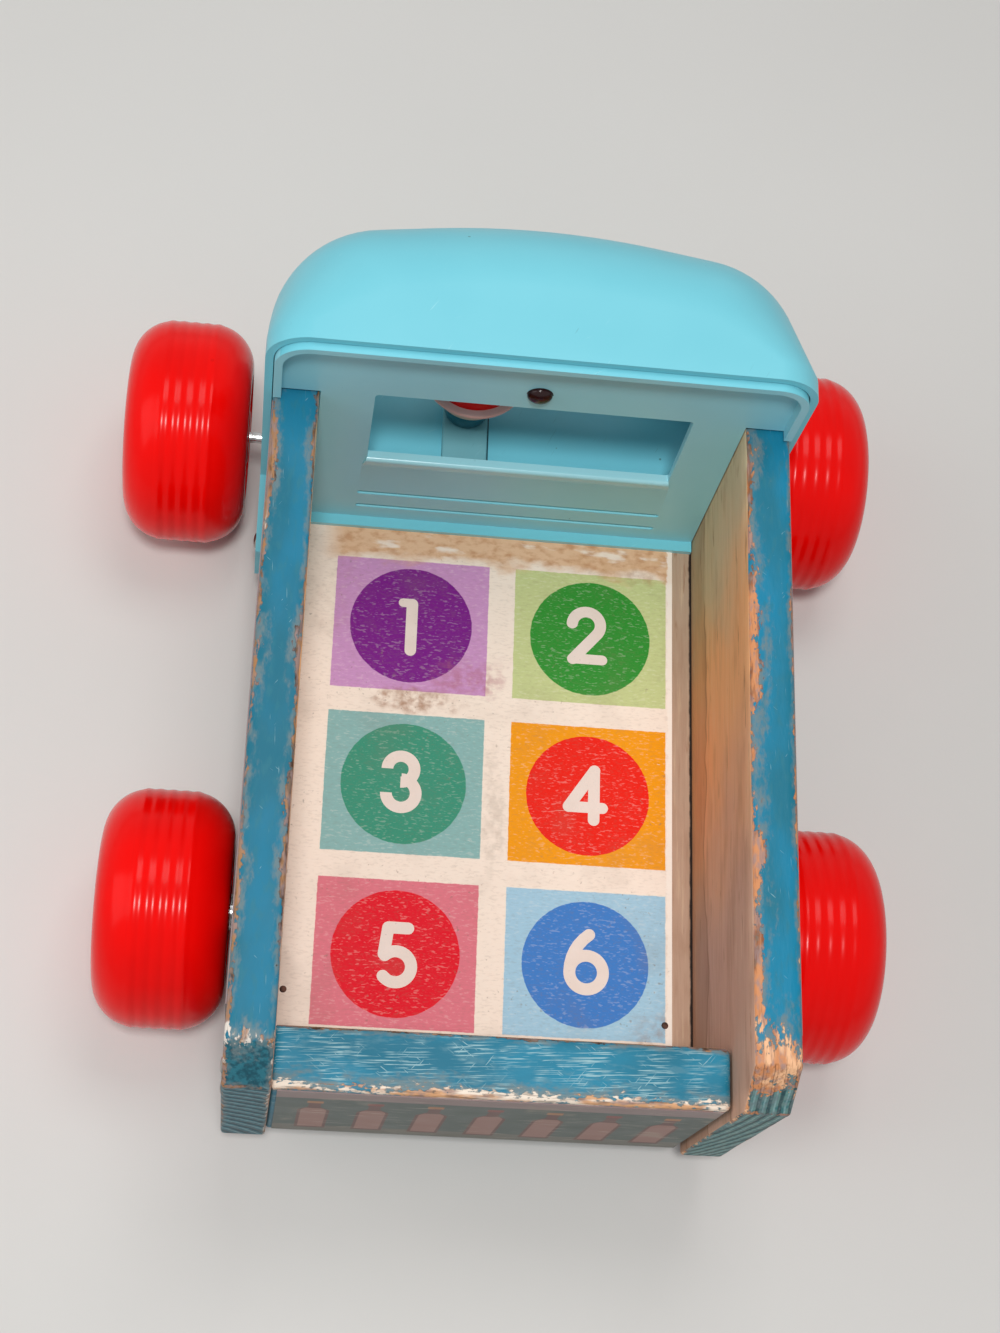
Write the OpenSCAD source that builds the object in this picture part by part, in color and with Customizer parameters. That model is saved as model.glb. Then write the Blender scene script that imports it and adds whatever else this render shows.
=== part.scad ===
// Pull-along milk wagon: a wooden box on four fat wheels, with a moulded cab and a driver that turns.
// Lengths are millimetres. X runs across the wagon, Y forward to the cab and Z up, with the ground at Z = 0.
// Heights named _up are above the floor, and lengths named _in are forward of the piece that they name.

/* [Wooden box] */
// Clear width between the side boards
box_w = 113.4; // [104:0.1:126]
// Clear length from the tailgate to the foot of the cab's back panel
cargo_l = 155; // [135:0.5:185]
// Thickness of the side boards
side_t = 11.8; // [9:0.1:15]
// Height of the side boards above the floor
side_up = 69.2; // [60:0.1:74]
// Thickness of the base board
base_t = 17.8; // [16:0.1:22]
// Length of the sloped cut at the side boards' rear top corners
slope_l = 9.3; // [0.5:0.1:16]
// Height of that sloped cut
slope_h = 12.5; // [0.5:0.1:25]
// Thickness of the tailgate
gate_t = 15.5; // [10:0.1:20]
// Height of the tailgate above the floor
gate_up = 46.7; // [30:0.1:60]
// How far the tailgate's outer face lies in front of the side boards' rear ends
gate_set = 2; // [1:0.1:8]
// Gap at the tailgate's right end
gate_gap = 0.5; // [0.1:0.1:1.5]
// Height of the side boards above the floor where they are cut down inside the cab
step_up = 20; // [16:0.1:24]
// Length of the side boards at full height inside the cab
step_in = 11; // [6:0.1:14]
// Length of the side boards in front of the front axle
toe_in = 9; // [7:0.1:11]

/* [Printed sheets] */
// Thickness of the printed paper
paper_t = 0.3; // [0.2:0.05:0.5]
// Bare strip of floor at the right of the numbered sheet
bare_strip = 5.8; // [0:0.1:10]
// Margin of bare wood round the sheets on the outer faces
sheet_margin = 1.6; // [0.5:0.1:5]

/* [Wheels and axles] */
// Diameter of the wheels over their ridges
wheel_d = 64.6; // [56:0.2:72]
// Width of the wheels
wheel_w = 35.2; // [30:0.2:38]
// Radius of the wheels' rounded shoulders
shoulder_r = 12; // [8:0.2:14]
// Gap between the side boards and the front wheels, with their axle set in the middle
wheel_clear = 5.2; // [5:0.1:9]
// Gap between the side boards' printed sheets and the rear wheels, with their axle set in the middle
rear_clear = 2.2; // [2:0.1:6]
// Distance between the axles
wheelbase = 144.3; // [130:0.5:160]
// Diameter of the steel axles
axle_d = 3.2; // [2.8:0.1:4]
// Radial clearance of the axles in the side boards
axle_gap = 0.05; // [0.03:0.01:0.09]
// Height of the floor above the axles' centres
floor_over_axle = 6; // [5:0.1:8]
// Gap left where an axle set lies to one side: the front one to the left, the rear one to the right
stop_gap = 0.7; // [0.3:0.1:1]
// Number of raised ridges round each wheel
ridge_count = 5; // [1:1:6]
// Height of the ridges
ridge_h = 0.2; // [0.1:0.05:0.8]
// Distance from one ridge to the next
ridge_pitch = 3.4; // [2.8:0.1:4]
// Width of a ridge
ridge_w = 2.2; // [1.2:0.1:2.6]
// Radius of the wheels' hubs
hub_r = 8; // [6:0.2:10]
// Outer radius of the ring-shaped dish in both faces of the wheels
dish_r = 18; // [16:0.2:20]
// Depth of that dish
dish_t = 2.5; // [1:0.1:5]
// Diameter of the axle caps
cap_d = 10; // [8:0.2:13]
// Thickness of the spacer rings beside the rear wheels
spacer_t = 0.8; // [0.8:0.1:1.3]

/* [Cab] */
// Height of the roof above the floor
roof_up = 99.2; // [92:0.2:110]
// Length of the roof from its rear rim to the windscreen's corners
roof_l = 46.4; // [44:0.2:56]
// How far the windscreen's middle bows forward of its corners
bow = 4; // [0.5:0.2:8]
// Radius of the roof's front corners
ball_r = 30; // [22:0.5:34]
// Number of balls that shape the windscreen's bow
bow_balls = 5; // [3:2:9]
// Radius of the roof's long rear corners
rim_r = 12; // [8:0.2:16]
// Wall thickness of the mouldings
wall = 2.1; // [1.6:0.1:2.6]
// Gap between the cab's sides and the side boards
shell_gap = 0.5; // [0.45:0.05:0.9]
// Length of the nose in front of the windscreen's corners
nose_l = 15.5; // [12:0.2:22]
// Height of the nose above the floor
nose_up = 32; // [26:0.2:36]
// Radius of the nose's corners, seen from above
nose_r = 28; // [24:0.5:30]
// Radius of the nose's top edge
nose_edge_r = 12; // [8:0.2:14]
// Height of the cab's lower edge above the side boards' lower edge
hem_up = 2.1; // [1:0.1:4]
// How far the cab's lower corners reach back beside the box
skirt_l = 14.9; // [8:0.1:20]
// Height of those corners above the floor, where they begin
skirt_up = 20; // [12:0.5:30]
// Width of the windscreen
screen_w = 92; // [70:1:96]
// Lower edge of the windscreen above the floor
screen_low = 37; // [36.5:0.5:44]
// Upper edge of the windscreen above the floor
screen_high = 78; // [66:0.5:80]
// Length of the door windows
door_l = 24; // [16:0.5:24]
// Lower edge of the door windows above the floor
door_low = 34; // [28:0.5:40]
// Upper edge of the door windows above the floor
door_high = 74; // [60:0.5:76]
// Radius of the head lamps
lamp_r = 8; // [5:0.2:10]
// How far the head lamps stand out of the nose
lamp_proud = 2.5; // [1.5:0.1:4]
// Distance between the head lamps
lamp_span = 62; // [50:1:66]

/* [Cab back panel] */
// How far the cab's rear rim lies in front of the panel's foot line
rim_set = 1.7; // [1:0.1:3]
// Depth of the foot that lies on the floor
foot_l = 3.1; // [2:0.1:6]
// Thickness of that foot
foot_t = 1.5; // [1:0.1:2.5]
// How far the panel leans forward over the height of the roof
panel_lean = 3.6; // [0:0.1:4]
// How far the panel's lip stands out behind the cab's rim
lip_proud = 2.1; // [1:0.1:3]
// Depth of the lip inside the rim
lip_in = 4; // [3:0.1:7]
// Width of the rear window
window_w = 84.4; // [60:0.2:96]
// Lower edge of the rear window above the floor
window_low = 37.4; // [34:0.2:48]
// Upper edge of the rear window above the floor
window_high = 70.9; // [56:0.1:71.4]
// Height of the window's ledge
ledge_h = 5; // [3:0.1:8]
// How far the ledge stands out
ledge_proud = 1; // [1:0.1:2.4]
// Length of the grooves below the window
groove_l = 87.2; // [60:0.2:100]
// Heights of the grooves above the floor
groove_up = [8.4, 16.3];
// Radius and depth of the grooves
groove_r = 0.9; // [0.4:0.05:1.2]
// Height of the rivet above the floor
rivet_up = 78; // [75.5:0.1:84]
// Diameter of the rivet's head
rivet_d = 7; // [5:0.1:8]
// Gap between the panel's notches and the side boards' top edges
notch_gap = 1.2; // [0.4:0.1:2.5]

/* [Driver] */
// Distance of the front axle in front of the cab's rear rim, where the driver stands as well
axle_in = 24.5; // [22:0.1:26]
// Distance of the driver to the left of the wagon's middle
driver_left = 14; // [10:0.5:18]
// Height of the cab deck above the floor
deck_up = 20; // [18:0.2:22]
// Diameter of the driver's spindle
peg_d = 6; // [5:0.1:7]
// Radial clearance of the spindle in the deck
peg_gap = 0.05; // [0.03:0.01:0.09]
// Width of the seat
seat_w = 12.9; // [11:0.1:16]
// Height of the seat above the deck
seat_t = 2.5; // [1.5:0.1:4]
// Diameter of the driver's shoulders
body_d = 13.6; // [13:0.2:16]
// Height of the driver's body
body_h = 9.2; // [8:0.1:10]
// Diameter of the driver's head
head_d = 23; // [20:0.2:24]
// Diameter of the cap's brim
brim_d = 30; // [28:0.2:32]
// Thickness of the cap's brim
brim_t = 1.6; // [1:0.1:2.5]
// Diameter of the cap's crown
crown_d = 26; // [22:0.2:27]
// Height of the cap's crown
crown_h = 9; // [6:0.2:11]
// Radius of the friction wheel on the front axle
drive_r = 9; // [8.8:0.1:9.6]
// Width of the friction wheel
drive_w = 5; // [3:0.1:7]
// Distance of the friction wheel from the spindle
drive_off = 12; // [11:0.1:13]
// Radius of the friction disc on the spindle
disc_r = 16; // [15.5:0.1:18]
// Thickness of the friction disc
disc_t = 3; // [2:0.1:3.5]
// Gap between the friction wheel and the disc
drive_gap = 0.3; // [0.3:0.05:0.5]

/* [Pull cord hole] */
// Clear diameter of the eyelet for the pull cord
cord_hole_d = 5; // [3:0.1:6]
// Wall of the eyelet
eyelet_t = 1; // [0.6:0.1:1.4]
// Diameter of the eyelet's flange
eyelet_flange_d = 11; // [10:0.2:14]
// Thickness of the eyelet's flange
eyelet_flange_t = 0.8; // [0.5:0.1:1.4]
// Width of the base board's tongue under the nose
tongue_w = 60; // [30:1:64]
// Thickness of the wood in front of the knot's pocket
knot_wall = 9; // [5:0.2:10]

/* [Hidden] */
$fn = 64;

over = 1;
snug = 0.3;

// Heights
axle_z = wheel_d / 2;
floor_z = axle_z + floor_over_axle;
base_top = floor_z - paper_t;
base_low = base_top - base_t;
base_mid = base_low + base_t / 2;
side_top = floor_z + side_up;
roof_z = floor_z + roof_up;
hem_z = base_low + hem_up;
deck_z = floor_z + deck_up;
seat_top = deck_z + seat_t;

// Places along the wagon
wagon_l = gate_set + gate_t + cargo_l + foot_l + rim_set + roof_l + nose_l + lamp_proud;
tail_y = -wagon_l / 2;
gate_out_y = tail_y + gate_set;
gate_in_y = gate_out_y + gate_t;
foot_y = gate_in_y + cargo_l;
panel_y = foot_y + foot_l;
rim_y = panel_y + rim_set;
screen_y = rim_y + roof_l;
nose_y = screen_y + nose_l;
front_y = rim_y + axle_in;
rear_y = front_y - wheelbase;
step_y = rim_y + step_in;
toe_y = front_y + toe_in;

// Places across the wagon
side_in = box_w / 2;
side_out = side_in + side_t;
shell_in = side_out + shell_gap;
shell_out = shell_in + wall;
wheel_in = side_out + wheel_clear;
hub_end = wheel_in + wheel_w;
rear_in = side_out + paper_t + rear_clear;
rear_end = rear_in + wheel_w;
driver_x = -driver_left;
drive_x = driver_x + drive_off;
// Each axle set has slid to one side, so the wagon's middle plane lies beside the origin
front_set_left = wheel_in - shell_out - stop_gap;
rear_set_right = rear_clear - spacer_t - stop_gap;
mid_x = (hub_end + front_set_left - max(hub_end - front_set_left, rear_end + rear_set_right)) / 2;

// Extrusions along X and along Y of a shape drawn in the plane across them
module along_x(x0, x1) { translate([x0, 0, 0]) rotate([90, 0, 90]) linear_extrude(x1 - x0) children(); }
module along_y(y0, y1) { translate([0, y1, 0]) rotate([90, 0, 0]) linear_extrude(y1 - y0) children(); }
// A round bar along X or along Y
module bar_x(x0, x1, y, z, r) { translate([x0, y, z]) rotate([0, 90, 0]) cylinder(h = x1 - x0, r = r); }
module bar_y(y0, y1, x, z, r) { translate([x, y0, z]) rotate([-90, 0, 0]) cylinder(h = y1 - y0, r = r); }
// A piece of the right side, or the same piece mirrored to the left
module on_side(side) { if (side > 0) children(); else mirror([1, 0, 0]) children(); }
// The whole part, set so that the box round it is centred on the origin
module placed() { translate([mid_x, 0, 0]) children(); }

// A rectangle from corner a to corner b with round corners
module round_box(a, b, r) {
    translate([a[0] + r, a[1]]) square([b[0] - a[0] - 2 * r, b[1] - a[1]]);
    translate([a[0], a[1] + r]) square([b[0] - a[0], b[1] - a[1] - 2 * r]);
    for (x = [a[0] + r, b[0] - r], y = [a[1] + r, b[1] - r]) translate([x, y]) circle(r = r);
}

// A dome of base diameter d and height h, standing on Z = 0
module dome(d, h) {
    ball = (d * d / 4 + h * h) / (2 * h);
    rotate_extrude() intersection() {
        translate([0, h - ball]) circle(r = ball);
        square([d / 2 + over, h + over]);
    }
}

// The outline of a window in the middle of a wall across the wagon, from low to high above the floor
module opening(width, low, high, r) {
    round_box([-width / 2, floor_z + low], [width / 2, floor_z + high], r);
}

// Nails of the box: [y, z] on the side boards, into the base board and into the tailgate
nail_shank_d = 1.8;
nail_head_d = 4.6;
nail_head_t = 0.9;
nail_l = 24;
nail_round = 0.1;
nail_inset = 18;
base_nails = [for (y = [gate_in_y + nail_inset, (gate_in_y + rim_y) / 2, rim_y - nail_inset]) [y, base_mid]];
gate_h = floor_z + gate_up - base_low;
gate_nails = [for (part = [0.25, 0.75]) [gate_out_y + gate_t / 2, base_low + part * gate_h]];
box_nails = concat(base_nails, gate_nails);
// Nails of the cab, through its sides into the side boards: one in the lower rear corner, and one whose head
// lies in the dish of the front wheel beside it
cab_nail_l = 9;
cab_nail_turn = 66;
mid_dish = (hub_r + dish_r) / 2;
cab_nails_at = [[rim_y - skirt_l / 2, base_mid],
    [front_y + mid_dish * cos(cab_nail_turn), axle_z + mid_dish * sin(cab_nail_turn)]];

module nail_hole(y, z, from, length) { bar_x(from - length, from + over, y, z, nail_shank_d / 2); }

module nail(y, z, from, length) {
    bar_x(from - length, from, y, z, nail_shank_d / 2);
    bar_x(from, from + nail_head_t, y, z, nail_head_d / 2);
}

// Base board with a groove under it for each axle, a slot for the friction wheel and the cord's knot pocket
groove_w = axle_d + 3;
slot_clear = 2;
knot_w = 16;
knot_l = 11;
knot_roof = 4;
tongue_y = nose_y - wall - snug;

module base_outline() {
    translate([-side_in, gate_in_y]) square([box_w, toe_y - gate_in_y]);
    translate([-tongue_w / 2, toe_y - over]) square([tongue_w, tongue_y - toe_y + over]);
}

module base_board() {
    color("burlywood") difference() {
        translate([0, 0, base_low]) linear_extrude(base_t) base_outline();
        for (y = [rear_y, front_y])
            translate([-side_in - over, y - groove_w / 2, base_low - over])
                cube([box_w + 2 * over, groove_w, axle_z + groove_w / 2 - base_low + over]);
        translate([drive_x - drive_w / 2 - slot_clear, front_y - drive_r - slot_clear, base_low - over])
            cube([drive_w + 2 * slot_clear, 2 * (drive_r + slot_clear), base_t + 2 * over]);
        translate([-knot_w / 2, tongue_y - knot_wall - knot_l, base_low - over])
            cube([knot_w, knot_l, base_t - knot_roof + over]);
        bar_y(tongue_y - knot_wall - over, tongue_y + over, 0, base_mid, cord_hole_d / 2 + eyelet_t);
        for (side = [-1, 1]) on_side(side) for (n = base_nails) nail_hole(n[0], n[1], side_out, nail_l);
        for (p = pins_at) translate([p[0], p[1], base_top - pin_l]) cylinder(h = pin_l + over, d = pin_d);
        for (p = screws_at)
            translate([p[0], p[1], base_top - screw_l]) cylinder(h = screw_l + over, d = screw_d);
    }
}

// Side boards: full height along the box, cut down inside the cab, sloped at the rear top corner
module side_board(side) {
    color("teal") on_side(side) difference() {
        along_x(side_in, side_out) polygon([[tail_y, base_low], [tail_y, side_top - slope_h],
            [tail_y + slope_l, side_top], [step_y, side_top], [step_y, floor_z + step_up],
            [toe_y, floor_z + step_up], [toe_y, base_low]]);
        for (y = [rear_y, front_y]) bar_x(side_in - over, side_out + over, y, axle_z, axle_d / 2 + axle_gap);
        for (n = box_nails) nail_hole(n[0], n[1], side_out, nail_l);
        for (n = cab_nails_at) nail_hole(n[0], n[1], side_out, cab_nail_l);
    }
}

module left_side_board() { side_board(-1); }
module right_side_board() { side_board(1); }

module tailgate_board() {
    color("teal") difference() {
        translate([-side_in, gate_out_y, base_low]) cube([box_w - gate_gap, gate_t, gate_h]);
        for (side = [-1, 1]) on_side(side) for (n = gate_nails) nail_hole(n[0], n[1], side_out, nail_l);
    }
}

module board_nails() {
    color("silver") for (side = [-1, 1]) on_side(side) {
        for (n = base_nails) nail(n[0], n[1], side_out, nail_l);
        for (n = gate_nails) nail(n[0], n[1], side_out, nail_l);
    }
}

// Printed sheets: numbers on the floor, plain pictures on the outer faces
sheet_low = hem_z + sheet_margin;
sheet_top = side_top - sheet_margin;

module number_sheet() {
    color("ivory") difference() {
        translate([-side_in, gate_in_y, base_top]) cube([box_w - bare_strip, cargo_l, paper_t]);
        for (p = pins_at)
            translate([p[0], p[1], base_top - over]) cylinder(h = paper_t + 2 * over, d = pin_head_d);
    }
}

module side_sheet(side) {
    color("ivory") on_side(side) difference() {
        along_x(side_out, side_out + paper_t) polygon([[gate_in_y, sheet_low], [gate_in_y, sheet_top],
            [rim_y - sheet_margin, sheet_top], [rim_y - sheet_margin, floor_z + skirt_up],
            [rim_y - skirt_l - sheet_margin, floor_z], [rim_y - skirt_l - sheet_margin, sheet_low]]);
        bar_x(side_out - over, side_out + paper_t + over, rear_y, axle_z, axle_d / 2 + over);
        for (n = base_nails)
            bar_x(side_out - over, side_out + paper_t + over, n[0], n[1], nail_head_d / 2 + nail_round);
    }
}

module left_side_sheet() { side_sheet(-1); }
module right_side_sheet() { side_sheet(1); }

module tailgate_sheet() {
    color("ivory") translate([-side_in + sheet_margin, gate_out_y - paper_t, base_low + sheet_margin])
        cube([box_w - gate_gap - 2 * sheet_margin, paper_t, gate_h - 2 * sheet_margin]);
}

// Small pins at the rear corners of the numbered sheet, with their heads flush with it
pin_d = 1.2;
pin_head_d = 1.9;
pin_l = 8;
pin_edge = 2;
left_pin_in = 18.5;
right_pin_in = 14.3;
pins_at = [[-side_in + pin_edge, gate_in_y + left_pin_in],
    [side_in - bare_strip - pin_edge, gate_in_y + right_pin_in]];

module floor_pins() {
    color("gray") for (p = pins_at) {
        translate([p[0], p[1], base_top - pin_l]) cylinder(h = pin_l, r = pin_d / 2);
        translate([p[0], p[1], base_top]) cylinder(h = paper_t, r = pin_head_d / 2);
    }
}

// Cab shell: the roofed cab and the lower nose, each drawn for the outside and, set in, for the inside.
// The balls of the cab's front reach back past the rear rim, where the shell is cut off. The shell keeps the
// section of its rim along the lip of the back panel.
module cab_form(set_in) {
    half_w = shell_out - set_in;
    back = rim_y - (set_in > 0 ? over : 0);
    low = hem_z - (set_in > 0 ? over : 0);
    r = ball_r - set_in;
    edge = rim_r - set_in;
    hull() {
        for (i = [0 : bow_balls - 1]) {
            part = 2 * i / (bow_balls - 1) - 1;
            translate([part * (shell_out - ball_r), screen_y + bow * (1 - part * part) - ball_r, 0]) {
                translate([0, 0, roof_z - ball_r]) sphere(r = r, $fn = 32);
                translate([0, 0, low]) cylinder(h = over, r = r, $fn = 32);
            }
        }
        for (side = [-1, 1]) {
            translate([side * (shell_out - rim_r), back, roof_z - rim_r]) rotate([-90, 0, 0])
                cylinder(h = rim_y + lip_in + over - back, r = edge, $fn = 32);
            translate([side * half_w - (side > 0 ? over : 0), back, low]) cube([over, over, over]);
        }
    }
}

module nose_form(set_in) {
    half_w = shell_out - set_in;
    back = rim_y - (set_in > 0 ? over : 0);
    low = hem_z - (set_in > 0 ? over : 0);
    top = floor_z + nose_up;
    r = nose_r - set_in;
    edge = nose_edge_r - set_in;
    hull() for (side = [-1, 1]) {
        translate([side * (shell_out - nose_r), nose_y - nose_r, low])
            cylinder(h = top - nose_edge_r - low, r = r, $fn = 48);
        translate([side * (shell_out - nose_r), nose_y - nose_r, top - nose_edge_r])
            rotate_extrude($fn = 48) translate([nose_r - nose_edge_r, 0]) circle(r = edge, $fn = 32);
        translate([side * half_w - (side > 0 ? over : 0), back, low])
            cube([over, over, top - nose_edge_r - low]);
        translate([side * (shell_out - nose_edge_r), back, top - nose_edge_r]) rotate([-90, 0, 0])
            cylinder(h = over, r = edge, $fn = 32);
    }
}

// Lower rear corner of the cab's side, which reaches back beside the box
module skirt() {
    along_x(shell_in, shell_out) polygon([[rim_y + over, floor_z + skirt_up], [rim_y, floor_z + skirt_up],
        [rim_y - skirt_l, floor_z], [rim_y - skirt_l, hem_z], [rim_y + over, hem_z]]);
}

// A domed head lamp on the nose
lamp_root = 0.5;
lamp_up = 12;
lamp_z = floor_z + lamp_up;

module lamp(side) {
    translate([side * lamp_span / 2, nose_y - lamp_root, lamp_z]) rotate([-90, 0, 0])
        dome(2 * lamp_r, lamp_proud + lamp_root);
}

// Grille bars between the lamps
grille_count = 4;
grille_pitch = 5;
grille_w = 36;
grille_r = 0.9;

module grille() {
    for (i = [0 : grille_count - 1]) {
        row = i - (grille_count - 1) / 2;
        bar_x(-grille_w / 2, grille_w / 2, nose_y, lamp_z - row * grille_pitch, grille_r);
    }
}

// Tab under the roof that the panel is riveted to
tab_w = 14;
tab_t = 2;
tab_reach = 8;
tab_y = max(panel_y + panel_lean + wall, rim_y + lip_in) + snug;
rivet_z = floor_z + rivet_up;
shank_d = 3;
window_r = 3;
screen_r = 8;
door_r = 6;
door_y = rim_y + step_in + 1.5;
axle_slot_w = axle_d + 2;

module cab_shell() {
    color("paleturquoise") {
        difference() {
            union() {
                difference() {
                    union() {
                        cab_form(0);
                        nose_form(0);
                    }
                    translate([-shell_out - over, rim_y - 2 * ball_r, hem_z - over])
                        cube([2 * (shell_out + over), 2 * ball_r, roof_z - hem_z + 2 * over]);
                }
                for (side = [-1, 1]) on_side(side) skirt();
                for (side = [-1, 1]) lamp(side);
                grille();
            }
            cab_form(wall);
            nose_form(wall);
            along_y(screen_y - ball_r, nose_y + lamp_proud + over)
                opening(screen_w, screen_low, screen_high, screen_r);
            along_x(-shell_out - over, shell_out + over)
                round_box([door_y, floor_z + door_low], [door_y + door_l, floor_z + door_high], door_r);
            along_x(-shell_out - over, shell_out + over) union() {
                translate([front_y, axle_z]) circle(d = axle_slot_w);
                translate([front_y - axle_slot_w / 2, hem_z - over])
                    square([axle_slot_w, axle_z - hem_z + over]);
            }
            bar_y(nose_y - wall - over, nose_y + lamp_proud + over, 0, base_mid, cord_hole_d / 2 + eyelet_t);
            for (side = [-1, 1]) on_side(side) for (n = cab_nails_at)
                bar_x(shell_in - over, shell_out + over, n[0], n[1], nail_shank_d / 2);
        }
        difference() {
            translate([-tab_w / 2, tab_y, rivet_z - tab_reach])
                cube([tab_w, tab_t, roof_z - wall / 2 - rivet_z + tab_reach]);
            bar_y(tab_y - over, tab_y + tab_t + over, 0, rivet_z, shank_d / 2);
        }
    }
}

module cab_nails() {
    color("silver") for (side = [-1, 1]) on_side(side) for (n = cab_nails_at) {
        bar_x(side_out - cab_nail_l, shell_out, n[0], n[1], nail_shank_d / 2);
        bar_x(shell_out, shell_out + nail_head_t, n[0], n[1], nail_head_d / 2);
    }
}

// Cab back panel: a leaning plate with a rounded top, notched over the side boards
lip_gap = 0.3;
lip_out = shell_in - lip_gap;
lip_top = roof_z - wall - lip_gap;
lip_r = rim_r - wall - lip_gap;
notch_z = side_top + notch_gap;
plate_in = side_in - snug;

// Y of the panel's rear face at a height
function panel_at(z) = panel_y + panel_lean * (z - floor_z) / roof_up;

module lip_outline(set_in) {
    intersection() {
        round_box([set_in - lip_out, notch_z - 2 * lip_r], [lip_out - set_in, lip_top - set_in],
            lip_r - set_in);
        translate([-lip_out, notch_z]) square([2 * lip_out, lip_top - notch_z]);
    }
}

module panel_plate() {
    intersection() {
        along_x(-lip_out, lip_out) polygon([[panel_at(floor_z), floor_z], [panel_at(lip_top), lip_top],
            [panel_at(lip_top) + wall, lip_top], [panel_at(floor_z) + wall, floor_z]]);
        along_y(panel_y - over, panel_y + panel_lean + wall + over) union() {
            lip_outline(0);
            translate([-plate_in, floor_z]) square([2 * plate_in, notch_z - floor_z + over]);
        }
    }
}

// A round bar across the panel that stands out of its face by proud, to add or to cut away
module face_bar(z, length, r, proud) {
    bar_x(-length / 2, length / 2, panel_at(z) + r - proud, z, r);
}

module cab_back_panel() {
    ledge_r = (ledge_h * ledge_h / 4 + ledge_proud * ledge_proud) / (2 * ledge_proud);
    ledge_z = floor_z + window_low - ledge_h / 2;
    color("mediumturquoise") difference() {
        union() {
            panel_plate();
            along_y(rim_y - lip_proud, rim_y + lip_in) difference() {
                lip_outline(0);
                lip_outline(wall);
            }
            translate([-plate_in, foot_y, base_top])
                cube([2 * plate_in, foot_l + wall / 2, paper_t + foot_t]);
            intersection() {
                face_bar(ledge_z, window_w + 2 * ledge_proud, ledge_r, ledge_proud);
                along_x(-side_in, side_in) translate([panel_y - over - ledge_proud, ledge_z - ledge_h / 2])
                    square([panel_at(ledge_z) - panel_y + wall + over + ledge_proud, ledge_h]);
            }
        }
        for (up = groove_up) face_bar(floor_z + up, groove_l, groove_r, groove_r);
        along_y(panel_y - over - ledge_proud, panel_y + panel_lean + wall + over)
            opening(window_w, window_low, window_high, window_r);
        bar_y(panel_y - over, panel_y + panel_lean + wall + over, 0, rivet_z, shank_d / 2);
    }
}

// Rivet with a domed head behind the panel and a flat tail in front of the tab
rivet_head_t = 2;
rivet_tail_t = 1.2;

module panel_rivet() {
    face = panel_at(rivet_z) - rivet_d * panel_lean / roof_up / 2;
    color("maroon") {
        translate([0, face, rivet_z]) rotate([90, 0, 0]) dome(rivet_d, rivet_head_t);
        bar_y(face - rivet_head_t / 2, tab_y + tab_t + rivet_tail_t, 0, rivet_z, shank_d / 2);
        bar_y(tab_y + tab_t, tab_y + tab_t + rivet_tail_t, 0, rivet_z, shank_d);
    }
}

// Cab deck: a tray turned upside down over the axle, with a bush for the driver's spindle
deck_back_y = panel_at(deck_z) + wall + snug;
disc_clear = 0.5;
bush_wall = 3;
deck_l = front_y + disc_r + disc_clear + wall - deck_back_y;
deck_half = side_in - snug;
bush_d = peg_d + 2 * bush_wall;
disc_low = axle_z + drive_r + drive_gap;
bush_low = disc_low + disc_t + snug;
screw_d = 2.4;
screw_head_d = 5;
screw_head_t = 1.4;
screw_l = 10;
screw_in = 3;
lug_l = 8;
lug_t = 2.2;
screws_at = [for (side = [-1, 1], y = [deck_back_y + lug_l, toe_y - screw_in])
    [side * (deck_half - wall - lug_l / 2), y]];

module cab_deck() {
    color("turquoise") difference() {
        union() {
            difference() {
                translate([-deck_half, deck_back_y, base_top])
                    cube([2 * deck_half, deck_l, deck_z - base_top]);
                translate([-deck_half + wall, deck_back_y - over, base_top - over])
                    cube([2 * (deck_half - wall), deck_l - wall + over, deck_z - wall - base_top + over]);
            }
            for (p = screws_at) translate([p[0] - lug_l / 2 - over / 2, p[1] - lug_l / 2, base_top])
                cube([lug_l + over, lug_l, lug_t]);
            translate([driver_x, front_y, bush_low]) cylinder(h = deck_z - wall / 2 - bush_low, d = bush_d);
        }
        translate([driver_x, front_y, bush_low - over])
            cylinder(h = deck_z - bush_low + 2 * over, r = peg_d / 2 + peg_gap);
        for (p = screws_at)
            translate([p[0], p[1], base_top - over]) cylinder(h = lug_t + 2 * over, d = screw_d);
    }
}

module deck_screws() {
    color("silver") for (p = screws_at) {
        translate([p[0], p[1], base_top - screw_l]) cylinder(h = screw_l + lug_t, r = screw_d / 2);
        translate([p[0], p[1], base_top + lug_t]) cylinder(h = screw_head_t, r = screw_head_d / 2);
    }
}

// Driver: a turned figure on a spindle that the friction disc turns
body_gap = 0.3;
body_low = seat_top + body_gap;
body_foot_d = 12.4;
neck_d = 11;
shoulder_h = body_h * 0.75;
head_mid_z = body_low + body_h + head_d * 0.4;
brim_z = head_mid_z + head_d * 0.19;
spindle_top = head_mid_z - head_d / 2 - snug;

module driver_seat() {
    color("lightslategray") difference() {
        translate([driver_x - seat_w / 2, deck_back_y + over / 2, deck_z])
            cube([seat_w, front_y + seat_w / 2 + over - deck_back_y, seat_t]);
        translate([driver_x, front_y, deck_z - over]) cylinder(h = seat_t + 2 * over, r = peg_d / 2 + snug);
    }
}

module driver_spindle() {
    color("tan") translate([driver_x, front_y, disc_low]) cylinder(h = spindle_top - disc_low, d = peg_d);
}

module friction_disc() {
    color("dimgray") translate([driver_x, front_y, disc_low]) difference() {
        cylinder(h = disc_t, r = disc_r);
        translate([0, 0, -over]) cylinder(h = disc_t + 2 * over, d = peg_d);
    }
}

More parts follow.
